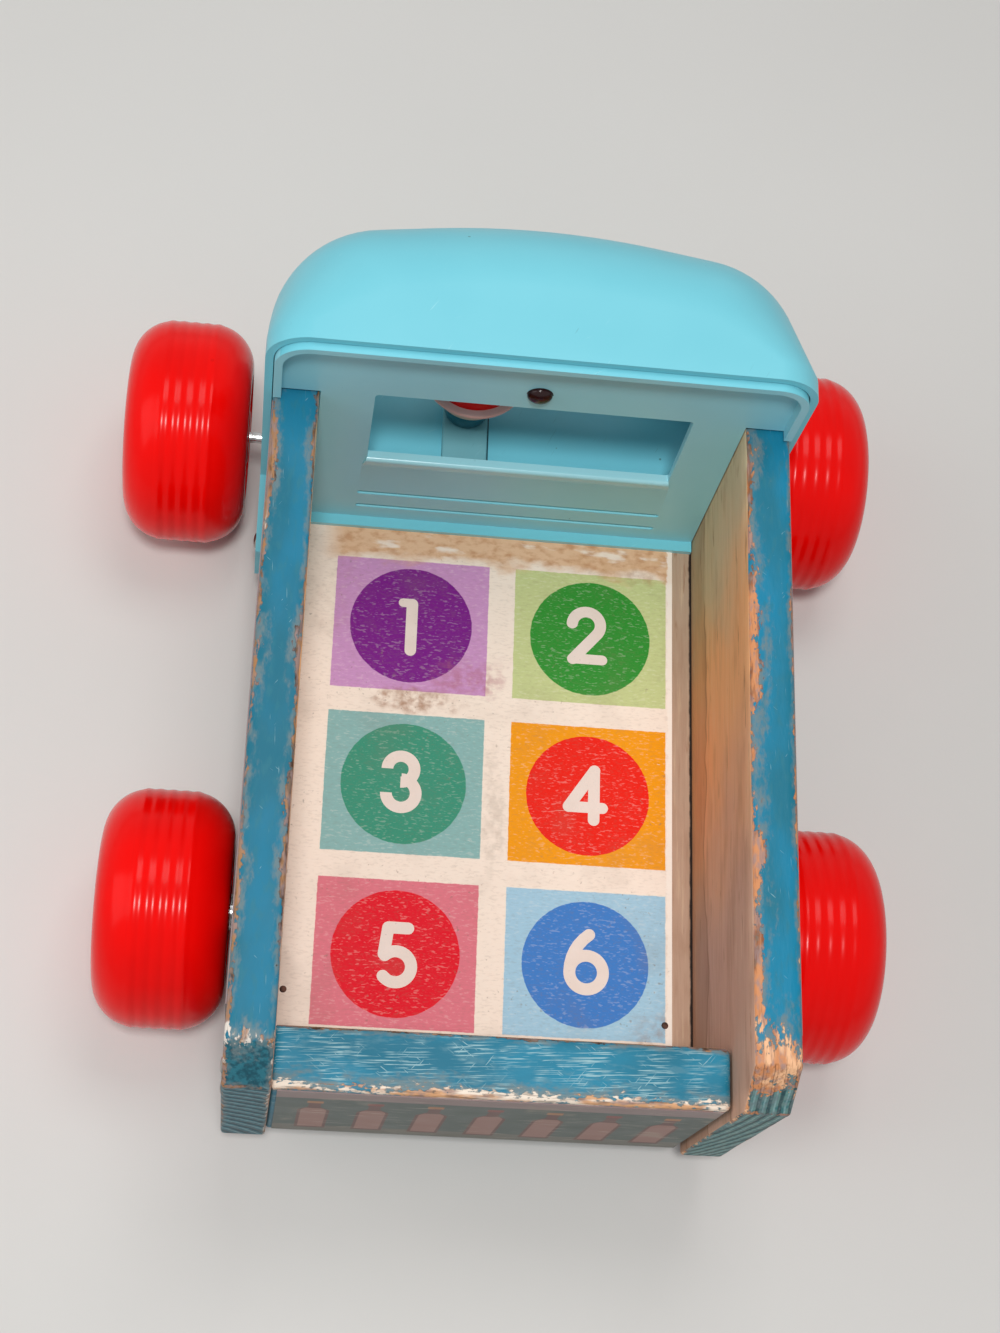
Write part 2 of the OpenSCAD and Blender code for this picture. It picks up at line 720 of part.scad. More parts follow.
module driver_body() {
    color("royalblue") translate([driver_x, front_y, body_low]) difference() {
        rotate_extrude() polygon([[0, 0], [body_foot_d / 2, 0], [body_d / 2, shoulder_h],
            [body_d / 2 - 1, body_h - 1], [neck_d / 2, body_h], [0, body_h]]);
        translate([0, 0, -over]) cylinder(h = spindle_top - body_low + over, d = peg_d);
        translate([0, 0, head_mid_z - body_low]) sphere(d = head_d);
    }
}

module driver_head() {
    color("peachpuff") difference() {
        translate([driver_x, front_y, head_mid_z]) sphere(d = head_d);
        translate([driver_x, front_y, brim_z]) cylinder(h = head_d, d = head_d + over);
    }
}

module cap_brim() {
    color("mistyrose") translate([driver_x, front_y, brim_z]) cylinder(h = brim_t, d = brim_d);
}

module cap_crown() {
    color("red") translate([driver_x, front_y, brim_z + brim_t]) dome(crown_d, crown_h);
}

// Wheel section in the plane of its axis: X is the radius and Y runs outward from the wheel's inner face
module wheel_section() {
    tread_r = wheel_d / 2 - ridge_h;
    difference() {
        union() {
            square([tread_r - shoulder_r, wheel_w]);
            translate([0, shoulder_r]) square([tread_r, wheel_w - 2 * shoulder_r]);
            for (y = [shoulder_r, wheel_w - shoulder_r])
                translate([tread_r - shoulder_r, y]) circle(r = shoulder_r);
            for (i = [0 : ridge_count - 1])
                translate([hub_r, wheel_w / 2 + (i - (ridge_count - 1) / 2) * ridge_pitch - ridge_w / 2])
                    square([wheel_d / 2 - hub_r, ridge_w]);
        }
        translate([-wheel_d, -over]) square([wheel_d + axle_d / 2, wheel_w + 2 * over]);
        for (y = [-over, wheel_w - dish_t]) translate([hub_r, y]) square([dish_r - hub_r, dish_t + over]);
    }
}

module wheel(side, inner, y, shift) {
    color("red") translate([shift, 0, 0]) on_side(side) translate([inner, y, axle_z])
        rotate([0, 90, 0]) rotate_extrude() wheel_section();
}

module front_left_wheel() { wheel(-1, wheel_in, front_y, -front_set_left); }
module front_right_wheel() { wheel(1, wheel_in, front_y, -front_set_left); }
module rear_left_wheel() { wheel(-1, rear_in, rear_y, rear_set_right); }
module rear_right_wheel() { wheel(1, rear_in, rear_y, rear_set_right); }

// Axles end inside their caps
cap_h = 1.4;
cap_bevel = 0.9;
axle_out = 0.7;

module axle(end, y, shift) {
    reach = end + axle_out;
    color("lightgray") translate([shift, 0, 0]) bar_x(-reach, reach, y, axle_z, axle_d / 2);
}

module front_axle() { axle(hub_end, front_y, -front_set_left); }
module rear_axle() { axle(rear_end, rear_y, rear_set_right); }

module caps(end, y, shift) {
    color("lightgray") translate([shift, 0, 0]) for (side = [-1, 1]) on_side(side) difference() {
        translate([end, y, axle_z]) rotate([0, 90, 0])
            cylinder(h = cap_h, d1 = cap_d, d2 = cap_d - 2 * cap_bevel);
        bar_x(end - over, end + axle_out, y, axle_z, axle_d / 2);
    }
}

module front_axle_caps() { caps(hub_end, front_y, -front_set_left); }
module rear_axle_caps() { caps(rear_end, rear_y, rear_set_right); }

// Rings that keep the rear wheels off the side boards
ring_d = 10;

module rear_spacer_rings() {
    color("lightgray") translate([rear_set_right, 0, 0]) for (side = [-1, 1]) on_side(side) difference() {
        bar_x(rear_in - spacer_t, rear_in, rear_y, axle_z, ring_d / 2);
        bar_x(rear_in - spacer_t - over, rear_in + over, rear_y, axle_z, axle_d / 2);
    }
}

module friction_wheel() {
    color("dimgray") difference() {
        bar_x(drive_x - drive_w / 2, drive_x + drive_w / 2, front_y, axle_z, drive_r);
        bar_x(drive_x - drive_w / 2 - over, drive_x + drive_w / 2 + over, front_y, axle_z, axle_d / 2);
    }
}

module cord_eyelet() {
    outer = cord_hole_d / 2 + eyelet_t;
    color("gold") difference() {
        union() {
            bar_y(tongue_y - knot_wall, nose_y, 0, base_mid, outer);
            bar_y(nose_y, nose_y + eyelet_flange_t, 0, base_mid, eyelet_flange_d / 2);
        }
        bar_y(tongue_y - knot_wall - over, nose_y + eyelet_flange_t + over, 0, base_mid, cord_hole_d / 2);
    }
}

placed() base_board();
placed() left_side_board();
placed() right_side_board();
placed() tailgate_board();
placed() number_sheet();
placed() left_side_sheet();
placed() right_side_sheet();
placed() tailgate_sheet();
placed() board_nails();
placed() floor_pins();
placed() cab_shell();
placed() cab_back_panel();
placed() panel_rivet();
placed() cab_nails();
placed() cab_deck();
placed() deck_screws();
placed() driver_seat();
placed() driver_spindle();
placed() friction_disc();
placed() driver_body();
placed() driver_head();
placed() cap_brim();
placed() cap_crown();
placed() friction_wheel();
placed() front_axle();
placed() front_left_wheel();
placed() front_right_wheel();
placed() front_axle_caps();
placed() rear_axle();
placed() rear_left_wheel();
placed() rear_right_wheel();
placed() rear_axle_caps();
placed() rear_spacer_rings();
placed() cord_eyelet();
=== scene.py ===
"""Looks of a pull-along milk wagon: a wooden box on four fat wheels, a moulded cab and a driver that turns.

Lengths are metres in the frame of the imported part: X runs across the wagon, Y forward to the cab and Z up,
and the ground is at Z = 0. Sizes are written as millimetres times MM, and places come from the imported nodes.
"""
import logging
import math
from collections.abc import Callable, Iterable, Sequence
from dataclasses import dataclass, field
from enum import Enum

import bmesh
import bpy
from mathutils import Matrix, Vector, noise


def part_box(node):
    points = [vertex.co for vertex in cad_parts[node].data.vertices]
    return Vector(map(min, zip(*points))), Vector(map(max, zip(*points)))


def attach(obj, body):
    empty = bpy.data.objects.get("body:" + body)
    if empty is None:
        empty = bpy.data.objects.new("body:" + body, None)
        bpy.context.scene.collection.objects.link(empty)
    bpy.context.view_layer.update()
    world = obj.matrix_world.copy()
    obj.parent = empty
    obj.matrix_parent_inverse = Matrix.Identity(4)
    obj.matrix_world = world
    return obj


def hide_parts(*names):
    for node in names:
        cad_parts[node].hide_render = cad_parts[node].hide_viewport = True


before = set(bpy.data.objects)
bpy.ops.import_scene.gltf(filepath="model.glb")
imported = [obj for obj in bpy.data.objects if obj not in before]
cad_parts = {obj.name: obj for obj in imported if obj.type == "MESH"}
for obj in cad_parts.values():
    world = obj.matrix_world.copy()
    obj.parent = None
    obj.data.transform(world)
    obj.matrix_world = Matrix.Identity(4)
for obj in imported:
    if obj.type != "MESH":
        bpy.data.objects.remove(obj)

MM = 0.001
WELD = 0.002 * MM
OVER = 1 * MM

# Short names of types

Solid = bmesh.types.BMesh
MeshPart = bmesh.types.BMVert | bmesh.types.BMEdge | bmesh.types.BMFace
Pair = tuple[float, float]
Triple = tuple[float, float, float]

log = logging.getLogger("milk_wagon")


class Body(Enum):
    """The bodies that pieces ride on."""

    WAGON = "wagon"
    FRONT_WHEELS = "front_wheel_set"
    REAR_WHEELS = "rear_wheel_set"
    DRIVER = "driver"


class Axis(Enum):
    """A direction of the frame."""

    X = 0
    Y = 1
    Z = 2

    @property
    def vector(self) -> Vector:
        """Unit vector along the axis."""
        return Vector([float(i == self.value) for i in range(3)])

    def place(self, along: float, first: float, second: float) -> Vector:
        """Gives a point from its place along the axis and in the plane across it.

        Args:
            along: Coordinate on this axis.
            first: The other two coordinates' first one.
            second: The other two coordinates' second one.

        Returns:
            The point.
        """
        values = [first, second]
        values.insert(self.value, along)
        return Vector(values)


class Side(Enum):
    """Left or right of the wagon, seen from behind."""

    LEFT = -1
    RIGHT = 1

    @property
    def word(self) -> str:
        """The side as it stands in the names of nodes."""
        return self.name.lower()


class Join(Enum):
    """How one solid is worked on by another."""

    ADD = "UNION"
    CUT = "DIFFERENCE"


@dataclass(frozen=True)
class Extent:
    """The lowest and the highest corner of a piece."""

    low: Vector
    high: Vector

    @classmethod
    def of(cls, node: str) -> "Extent":
        """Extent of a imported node."""
        return cls(*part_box(node))

    @property
    def middle(self) -> Vector:
        """The point halfway between the corners."""
        return (self.low + self.high) / 2

    @property
    def size(self) -> Vector:
        """Lengths of the box along X, Y and Z."""
        return self.high - self.low

    @property
    def top(self) -> Vector:
        """The middle of its top."""
        return Vector((self.middle.x, self.middle.y, self.high.z))


def islands(node: str) -> list[Extent]:
    """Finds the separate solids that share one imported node.

    Args:
        node: Name of the node.

    Returns:
        The extent of each solid, in order of place.
    """
    shape = bmesh.new()
    shape.from_mesh(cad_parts[node].data)
    bmesh.ops.remove_doubles(shape, verts=shape.verts, dist=WELD)
    left = set(shape.verts)
    found = []
    while left:
        reached = [left.pop()]
        for vert in reached:
            for edge in vert.link_edges:
                other = edge.other_vert(vert)
                if other in left:
                    left.discard(other)
                    reached.append(other)
        low, high = (Vector([pick(v.co[i] for v in reached) for i in range(3)]) for pick in (min, max))
        found.append(Extent(low, high))
    shape.free()
    return sorted(found, key=lambda extent: tuple(extent.middle))


# Outlines and solids

def points_of(drawn: Iterable[MeshPart]) -> list[bmesh.types.BMVert]:
    """The points among newly drawn parts of a mesh."""
    return [item for item in drawn if isinstance(item, bmesh.types.BMVert)]


class Outline:
    """A closed outline in a plane, drawn in straight and round stretches."""

    def __init__(self, *points: Pair) -> None:
        """Starts the outline at its first corners."""
        self.points = list(points)

    def to(self, *points: Pair) -> "Outline":
        """Goes on straight to the next corners."""
        self.points += points
        return self

    def arc(self, centre: Pair, radius: float, start: float, end: float,
            steps: int = 8) -> "Outline":
        """Goes on along an arc.

        Args:
            centre: Middle of the arc.
            radius: Its radius.
            start: Angle in degrees where it begins.
            end: Angle in degrees where it ends.
            steps: Number of its straight steps.

        Returns:
            The outline itself.
        """
        for i in range(steps + 1):
            angle = math.radians(start + (end - start) * i / steps)
            self.points.append((centre[0] + radius * math.cos(angle), centre[1] + radius * math.sin(angle)))
        return self

    @classmethod
    def rectangle(cls, low: Pair, high: Pair, radius: float = 0.0) -> "Outline":
        """Draws a rectangle, with round corners where a radius is given."""
        if not radius:
            return cls(low, (high[0], low[1]), high, (low[0], high[1]))
        outline = cls()
        for x, y, start in ((high[0] - radius, low[1] + radius, -90), (high[0] - radius, high[1] - radius, 0),
                            (low[0] + radius, high[1] - radius, 90), (low[0] + radius, low[1] + radius, 180)):
            outline.arc((x, y), radius, start, start + 90, 6)
        return outline

    def prism(self, axis: Axis, start: float, end: float) -> Solid:
        """Draws the outline out along an axis.

        Args:
            axis: Direction of the prism. The outline's two coordinates are the other two.
            start: Where it begins on that axis.
            end: Where it ends.

        Returns:
            A closed solid.
        """
        shape = bmesh.new()
        face = shape.faces.new([shape.verts.new(axis.place(start, *point)) for point in self.points])
        drawn = bmesh.ops.extrude_face_region(shape, geom=[face])
        bmesh.ops.translate(shape, vec=axis.vector * (end - start), verts=points_of(drawn["geom"]))
        bmesh.ops.recalc_face_normals(shape, faces=shape.faces)
        return shape


def block(low: Vector, high: Vector) -> Solid:
    """A box between two corners."""
    shape = bmesh.new()
    bmesh.ops.create_cube(shape, size=1.0)
    bmesh.ops.scale(shape, vec=high - low, verts=shape.verts)
    bmesh.ops.translate(shape, vec=(low + high) / 2, verts=shape.verts)
    return shape


def slab(middle: Vector, half_x: float, half_y: float, low: float, high: float) -> Solid:
    """A box round the upright line through a point, between two heights."""
    return block(Vector((middle.x - half_x, middle.y - half_y, low)),
                 Vector((middle.x + half_x, middle.y + half_y, high)))


def lathe(profile: Sequence[Pair], centre: Vector, axis: Axis, steps: int = 64,
          ring: bool = False) -> Solid:
    """Turns a profile round an axis.

    Args:
        profile: Pairs of a radius and a place along the axis, from the centre.
        centre: Point of the axis that the places are counted from.
        axis: Direction of the axis.
        steps: Number of steps in a full turn.
        ring: True where the profile's last point joins its first one.

    Returns:
        A closed solid.
    """
    shape = bmesh.new()
    across = Axis((axis.value + 1) % 3).vector
    verts = [shape.verts.new(centre + axis.vector * along + across * radius) for radius, along in profile]
    edges = [shape.edges.new(pair) for pair in zip(verts, verts[1:] + verts[:1] * ring)]
    bmesh.ops.spin(shape, geom=verts + edges, cent=centre, axis=axis.vector, dvec=(0, 0, 0),
                   angle=2 * math.pi, steps=steps, use_merge=True, use_duplicate=False)
    bmesh.ops.remove_doubles(shape, verts=shape.verts, dist=WELD)
    bmesh.ops.recalc_face_normals(shape, faces=shape.faces)
    return shape


def round_end(radius: float, height: float, base: float, steps: int = 6) -> list[Pair]:
    """Profile of a dome that stands on a base and closes on its axis."""
    angles = [math.radians(90 * i / steps) for i in range(steps + 1)]
    return [(radius * math.cos(angle), base + height * math.sin(angle)) for angle in angles]


def round_bar(radius: float, length: float, centre: Vector, axis: Axis) -> Solid:
    """A bar with round ends, laid along an axis with its middle at a point."""
    ends = [(r, length / 2 - radius + along) for r, along in round_end(radius, radius, 0)]
    return lathe([(r, -along) for r, along in reversed(ends)] + ends, centre, axis, 24)


def disc_column(radius: float, height: float, foot: Vector) -> Solid:
    """An upright round column on a point."""
    return lathe([(0, 0), (radius, 0), (radius, height), (0, height)], foot, Axis.Z, 48)


def turned_out(profile: Sequence[Pair], seat_x: float, extent: Extent, side: int, steps: int,
               ring: bool = False) -> Solid:
    """Turns a profile round the line along X through the middle of an extent.

    Args:
        profile: Pairs of a radius and a distance from the seat.
        seat_x: Place of the seat across the wagon.
        extent: Extent that the line goes through.
        side: 1 where the distances count to the right, and -1 to the left.
        steps: Number of steps in a full turn.
        ring: True where the profile's last point joins its first one.

    Returns:
        A closed solid.
    """
    mirrored = [(radius, side * along) for radius, along in profile]
    return lathe(mirrored, Vector((seat_x, extent.middle.y, extent.middle.z)), Axis.X, steps, ring)


def soften(shape: Solid, width: float, segments: int = 2,
           chosen: Callable[[bmesh.types.BMEdge], bool] | None = None) -> Solid:
    """Rounds the sharp edges of a solid.

    Args:
        shape: The solid.
        width: How far the rounding reaches from an edge.
        segments: Steps of the rounding.
        chosen: Says which edges are rounded, where not all sharp ones are.

    Returns:
        The solid itself.
    """
    test = chosen or (lambda edge: edge.calc_face_angle(0.0) > math.radians(30))
    edges = [edge for edge in shape.edges if test(edge)]
    bmesh.ops.bevel(shape, geom=edges, offset=width, offset_type="OFFSET", segments=segments, profile=0.5,
                    affect="EDGES", material=-1, clamp_overlap=True)
    return shape


def scratch_object(shape: Solid) -> bpy.types.Object:
    """A short-lived object that holds a solid, which is used up."""
    mesh = bpy.data.meshes.new("scratch")
    shape.to_mesh(mesh)
    shape.free()
    made = bpy.data.objects.new("scratch", mesh)
    bpy.context.scene.collection.objects.link(made)
    return made


def joined(shape: Solid, how: Join, *tools: Solid) -> Solid:
    """Adds solids to a solid, or cuts them away from it.

    Args:
        shape: The solid that is worked on.
        how: Whether the tools are added or cut away.
        tools: The other solids.

    Returns:
        The new solid. Those that were given are used up.
    """
    for tool in tools:
        work, knife = scratch_object(shape), scratch_object(tool)
        modifier = work.modifiers.new("join", "BOOLEAN")
        modifier.operation = how.value
        modifier.solver = "EXACT"
        modifier.object = knife
        shape = bmesh.new()
        shape.from_object(work, bpy.context.evaluated_depsgraph_get())
        for used in (work, knife):
            mesh = used.data
            bpy.data.objects.remove(used)
            bpy.data.meshes.remove(mesh)
        bmesh.ops.remove_doubles(shape, verts=shape.verts, dist=WELD)
    return shape


def together(*shapes: Solid) -> Solid:
    """Puts separate solids into one mesh."""
    whole = bmesh.new()
    for shape in shapes:
        mesh = bpy.data.meshes.new("scratch")
        shape.to_mesh(mesh)
        shape.free()
        whole.from_mesh(mesh)
        bpy.data.meshes.remove(mesh)
    return whole


def wrapped(shape: Solid) -> Solid:
    """Stretches a skin round a solid's points, so that no part of it is hollow."""
    skin = bmesh.new()
    for vert in shape.verts:
        skin.verts.new(vert.co)
    shape.free()
    drawn = bmesh.ops.convex_hull(skin, input=skin.verts, use_existing_faces=False)
    inside = set(points_of(drawn["geom_interior"])) | set(points_of(drawn["geom_unused"]))
    bmesh.ops.delete(skin, geom=list(inside), context="VERTS")
    bmesh.ops.dissolve_limit(skin, angle_limit=math.radians(0.2), verts=skin.verts, edges=skin.edges)
    bmesh.ops.recalc_face_normals(skin, faces=skin.faces)
    return skin


def sliced(shape: Solid, axis: Axis, places: Iterable[float]) -> Solid:
    """Cuts a solid's faces along planes across an axis, so that it can bend or wear there."""
    for place in places:
        bmesh.ops.bisect_plane(shape, geom=list(shape.verts) + list(shape.edges) + list(shape.faces),
                               plane_co=axis.vector * place, plane_no=axis.vector, dist=WELD)
    return shape


def steps_between(low: float, high: float, pitch: float) -> list[float]:
    """Places a pitch apart between two ends."""
    count = max(2, round((high - low) / pitch))
    return [low + (high - low) * i / count for i in range(1, count)]


def diced(shape: Solid, extent: Extent, pitches: dict[Axis, float]) -> None:
    """Slices a solid across each of some axes at the pitch given for it."""
    for axis, pitch in pitches.items():
        sliced(shape, axis, steps_between(extent.low[axis.value], extent.high[axis.value], pitch))


def piece(name: str, shape: Solid, finishes: Sequence["Finish"], slot: str, *replaced: str,
          body: Body = Body.WAGON, smooth: float = 35.0) -> bpy.types.Object:
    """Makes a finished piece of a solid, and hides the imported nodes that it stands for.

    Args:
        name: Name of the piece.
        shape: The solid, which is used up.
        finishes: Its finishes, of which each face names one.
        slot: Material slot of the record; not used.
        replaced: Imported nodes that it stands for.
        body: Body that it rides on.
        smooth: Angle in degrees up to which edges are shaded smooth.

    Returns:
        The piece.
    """
    mesh = bpy.data.meshes.new(name)
    shape.to_mesh(mesh)
    shape.free()
    made = bpy.data.objects.new(name, mesh)
    bpy.context.scene.collection.objects.link(made)
    for finish in finishes:
        mesh.materials.append(finish.material())
    mesh.shade_smooth()
    mesh.set_sharp_from_angle(angle=math.radians(smooth))
    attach(made, body.value)
    if replaced:
        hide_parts(*replaced)
    log.info("%s: %d faces, rides on %s", name, len(mesh.polygons), body.value)
    return made


def mark_edges(shape: Solid) -> Solid:
    """Marks the sharp outer edges of a solid for rounding, and leaves its inner corners."""
    marks = shape.edges.layers.float.new("bevel_weight_edge")
    for edge in shape.edges:
        edge[marks] = float(edge.calc_face_angle_signed(0.0) > math.radians(40))
    return shape


def round_edges(made: bpy.types.Object, width: float, segments: int = 2) -> None:
    """Rounds the marked edges of a finished piece by a modifier."""
    modifier = made.modifiers.new("rounded", "BEVEL")
    modifier.width = width
    modifier.segments = segments
    modifier.limit_method = "WEIGHT"
    modifier.use_clamp_overlap = True
    modifier.harden_normals = True


def dress(node: str, finish: "Finish") -> None:
    """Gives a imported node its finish."""
    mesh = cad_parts[node].data
    mesh.materials.clear()
    mesh.materials.append(finish.material())
    log.info("%s: keeps its packed shape", node)


# Materials: fields over a surface, and the finishes that are made of them

def linear(code: str) -> tuple[float, float, float, float]:
    """Linear colour of a six-digit sRGB code."""
    parts = [int(code[i:i + 2], 16) / 255 for i in (0, 2, 4)]
    return (*[p / 12.92 if p <= 0.04045 else ((p + 0.055) / 1.055) ** 2.4 for p in parts], 1.0)


class Field:
    """A number that varies over a surface: one output of a material's node."""

    def __init__(self, graph: "Graph", socket: bpy.types.NodeSocket) -> None:
        """Holds the output."""
        self.graph = graph
        self.socket = socket

    def __add__(self, other: "Field | float") -> "Field":
        """Sum."""
        return self.graph.math("ADD", self, other)

    def __sub__(self, other: "Field | float") -> "Field":
        """Difference."""
        return self.graph.math("SUBTRACT", self, other)

    def __rsub__(self, other: float) -> "Field":
        """Difference from a number."""
        return self.graph.math("SUBTRACT", other, self)

    def __mul__(self, other: "Field | float") -> "Field":
        """Product."""
        return self.graph.math("MULTIPLY", self, other)

    def __truediv__(self, other: float) -> "Field":
        """Quotient."""
        return self.graph.math("DIVIDE", self, other)

    def size(self) -> "Field":
        """Value without its sign."""
        return self.graph.math("ABSOLUTE", self)

    def least(self, other: "Field | float") -> "Field":
        """The lower one of two."""
        return self.graph.math("MINIMUM", self, other)

    def most(self, other: "Field | float") -> "Field":
        """The higher one of two."""
        return self.graph.math("MAXIMUM", self, other)

    def wave(self) -> "Field":
        """Sine."""
        return self.graph.math("SINE", self)

    def wrapped(self, pitch: float) -> "Field":
        """Place within a repeat of a pitch, counted from its middle."""
        return self.graph.math("WRAP", self, pitch / 2, -pitch / 2)

    def ramp(self, low: float, high: float) -> "Field":
        """Soft step from 0 at low to 1 at high, or the other way round where low is the higher one."""
        node = self.graph.node("ShaderNodeMapRange")
        node.interpolation_type = "SMOOTHSTEP"
        self.graph.feed(node.inputs["Value"], self)
        node.inputs["From Min"].default_value = low
        node.inputs["From Max"].default_value = high
        return Field(self.graph, node.outputs["Result"])


class Graph:
    """The node tree of a material, written in short calls that each give a field."""

    def __init__(self, name: str) -> None:
        """Starts a material with its shader and the place on the piece, in metres."""
        self.material = bpy.data.materials.new(name)
        self.material.use_nodes = True
        self.tree = self.material.node_tree
        self.shader = self.tree.nodes["Principled BSDF"]
        self.place = self.node("ShaderNodeTexCoord").outputs["Object"]
        split = self.node("ShaderNodeSeparateXYZ")
        self.tree.links.new(self.place, split.inputs[0])
        self.x, self.y, self.z = (Field(self, output) for output in split.outputs)

    def node(self, kind: str) -> bpy.types.Node:
        """Adds a node."""
        return self.tree.nodes.new(kind)

    def feed(self, socket: bpy.types.NodeSocket, value: "Field | float | tuple | str") -> None:
        """Gives an input a field, a number or a colour code."""
        if isinstance(value, Field):
            self.tree.links.new(value.socket, socket)
        else:
            socket.default_value = linear(value) if isinstance(value, str) else value

    def math(self, operation: str, *values: Field | float) -> Field:
        """Adds a calculation."""
        node = self.node("ShaderNodeMath")
        node.operation = operation
        for socket, value in zip(node.inputs, values):
            self.feed(socket, value)
        return Field(self, node.outputs[0])

    def stretched(self, stretch: Sequence[float], turn: float = 0.0,
                  shift: Sequence[float] = (0, 0, 0)) -> Field:
        """The place on the piece, moved, turned about Z in degrees and stretched."""
        node = self.node("ShaderNodeMapping")
        self.tree.links.new(self.place, node.inputs["Vector"])
        node.inputs["Location"].default_value = shift
        node.vector_type = "TEXTURE"
        node.inputs["Rotation"].default_value = (0, 0, math.radians(turn))
        node.inputs["Scale"].default_value = [1 / part for part in stretch]
        return Field(self, node.outputs[0])

    def noise(self, grain: float, detail: float = 2.0, stretch: Sequence[float] = (1, 1, 1),
              turn: float = 0.0, seed: float = 0.0, roughness: float = 0.5) -> Field:
        """Cloudy noise from 0 to 1.

        Args:
            grain: Size of its patches in metres.
            detail: Number of finer layers.
            stretch: Factor along each axis, below 1 to draw the patches out.
            turn: Turn of the stretched pattern about Z, in degrees.
            seed: Shift of the pattern, so that two of them differ.
            roughness: Strength of the finer layers.

        Returns:
            The field.
        """
        node = self.node("ShaderNodeTexNoise")
        self.feed(node.inputs["Vector"], self.stretched(stretch, turn, (seed, seed * 0.7, seed * 0.3)))
        node.inputs["Scale"].default_value = 1 / grain
        node.inputs["Detail"].default_value = detail
        node.inputs["Roughness"].default_value = roughness
        return Field(self, node.outputs[0])

    def specks(self, grain: float, radius: float, seed: float = 0.0) -> Field:
        """Small round spots, 1 inside, scattered a grain apart with a radius given as a share of it."""
        node = self.node("ShaderNodeTexVoronoi")
        self.feed(node.inputs["Vector"], self.stretched((1, 1, 1), 0, (seed, seed, seed)))
        node.inputs["Scale"].default_value = 1 / grain
        return Field(self, node.outputs["Distance"]).ramp(radius, radius * 0.6)

    def scratches(self, along: Axis, width: float, length: float, amount: float, turn: float = 0.0,
                  seed: float = 0.0) -> Field:
        """Thin scratches, 1 on a scratch.

        Args:
            along: Axis that they follow.
            width: Their width in metres.
            length: Their length.
            amount: Share of the surface, from 0 to 1, roughly.
            turn: Turn about Z in degrees.
            seed: Shift of the pattern.

        Returns:
            The field.
        """
        stretch = [width / length if axis is along else 1.0 for axis in Axis]
        level = 0.78 - 0.3 * amount
        return self.noise(width * 2.5, 1.0, stretch, turn, seed).ramp(level, level + 0.06)

    def mix(self, share: Field | float, first: Field | str, second: Field | str) -> Field:
        """Mixes two colours."""
        node = self.node("ShaderNodeMix")
        node.data_type = "RGBA"
        for index, value in ((0, share), (6, first), (7, second)):
            self.feed(node.inputs[index], value)
        return Field(self, node.outputs[2])

    def highest(self, fields: Sequence[Field]) -> Field:
        """The highest one of several fields."""
        top = fields[0]
        for each in fields[1:]:
            top = top.most(each)
        return top

    def raise_surface(self, height: Field, distance: float) -> None:
        """Lets the surface rise by a distance where a field is 1."""
        node = self.node("ShaderNodeBump")
        node.inputs["Distance"].default_value = distance
        self.feed(node.inputs["Height"], height)
        self.tree.links.new(node.outputs[0], self.shader.inputs["Normal"])


@dataclass(frozen=True)
class Finish:
    """A surface's look. Its shine is held here, and each kind of finish adds its colour and relief."""

    name: str
    roughness: float = 0.5
    spread: float = 0.08
    metallic: float = 0.0
    gleam: float = 0.5
    relief_depth: float = 0.05 * MM

    def colour(self, graph: Graph) -> Field:
        """Colour over the surface."""
        raise NotImplementedError

    def relief(self, graph: Graph) -> Field:
        """Height over the surface, from 0 to 1."""
        return graph.noise(0.7 * MM, 2)

    def material(self) -> bpy.types.Material:
        """The finish as a material, made once."""
        name = f"{self.name}_finish"
        known = bpy.data.materials.get(name)
        if known:
            return known
        graph = Graph(name)
        inputs = graph.shader.inputs
        graph.feed(inputs["Base Color"], self.colour(graph))
        cloudy = graph.noise(9 * MM, 4) * (2 * self.spread) + (self.roughness - self.spread)
        graph.feed(inputs["Roughness"], cloudy)
        inputs["Metallic"].default_value = self.metallic
        inputs["Specular IOR Level"].default_value = self.gleam
        graph.raise_surface(self.relief(graph), self.relief_depth)
        return graph.material


@dataclass(frozen=True)
class MouldedPlastic(Finish):
    """Satin moulded plastic with faint clouds, thin scratches, a few nicks and, on the deck, a painted shade
    line beside the seat.
    """

    gleam: float = 0.4
    base: str = "7CD0DE"
    shade: str = "70C6D6"
    scratch: str = "B9EAF0"
    nick: str = "3F7880"
    # Colour of the painted shade line beside the seat.
    shade_line: str = "143E47"
    marks: float = 0.1
    # Place across X of that painted shade line, or none.
    shade_line_x: float | None = None

    def colour(self, graph: Graph) -> Field:
        """Clouds, scratches in three directions where it was handled, nicks and the painted shade line."""
        mixed = graph.mix(graph.noise(34 * MM, 4), self.base, self.shade)
        handled = graph.noise(19 * MM, 2, seed=5.0).ramp(0.48, 0.62)
        for along, turn, seed in ((Axis.X, 27, 0.3), (Axis.Y, -34, 0.7)):
            lines = graph.scratches(along, 0.16 * MM, 4 * MM, self.marks, turn, seed)
            mixed = graph.mix(lines * handled * 0.35, mixed, self.scratch)
        dark = graph.scratches(Axis.X, 0.16 * MM, 2.5 * MM, self.marks, 62, 3.1)
        mixed = graph.mix(dark * handled * 0.3, mixed, self.nick)
        spots = graph.specks(9 * MM, 0.05) * graph.noise(24 * MM, 1, seed=2.0).ramp(0.5, 0.6)
        mixed = graph.mix(spots * 0.7, mixed, self.nick)
        # Painted shade: a dark line on the deck along the seat's right edge, standing for the shade of the
        # seat's step.
        if self.shade_line_x is not None:
            mixed = graph.mix((graph.x - self.shade_line_x).size().ramp(0.35 * MM, 0.2 * MM), mixed, self.shade_line)
        return mixed

    def relief(self, graph: Graph) -> Field:
        """A fine grain, and soft waves of the moulding."""
        return graph.noise(0.8 * MM, 2) * 0.25 + graph.noise(14 * MM, 1)


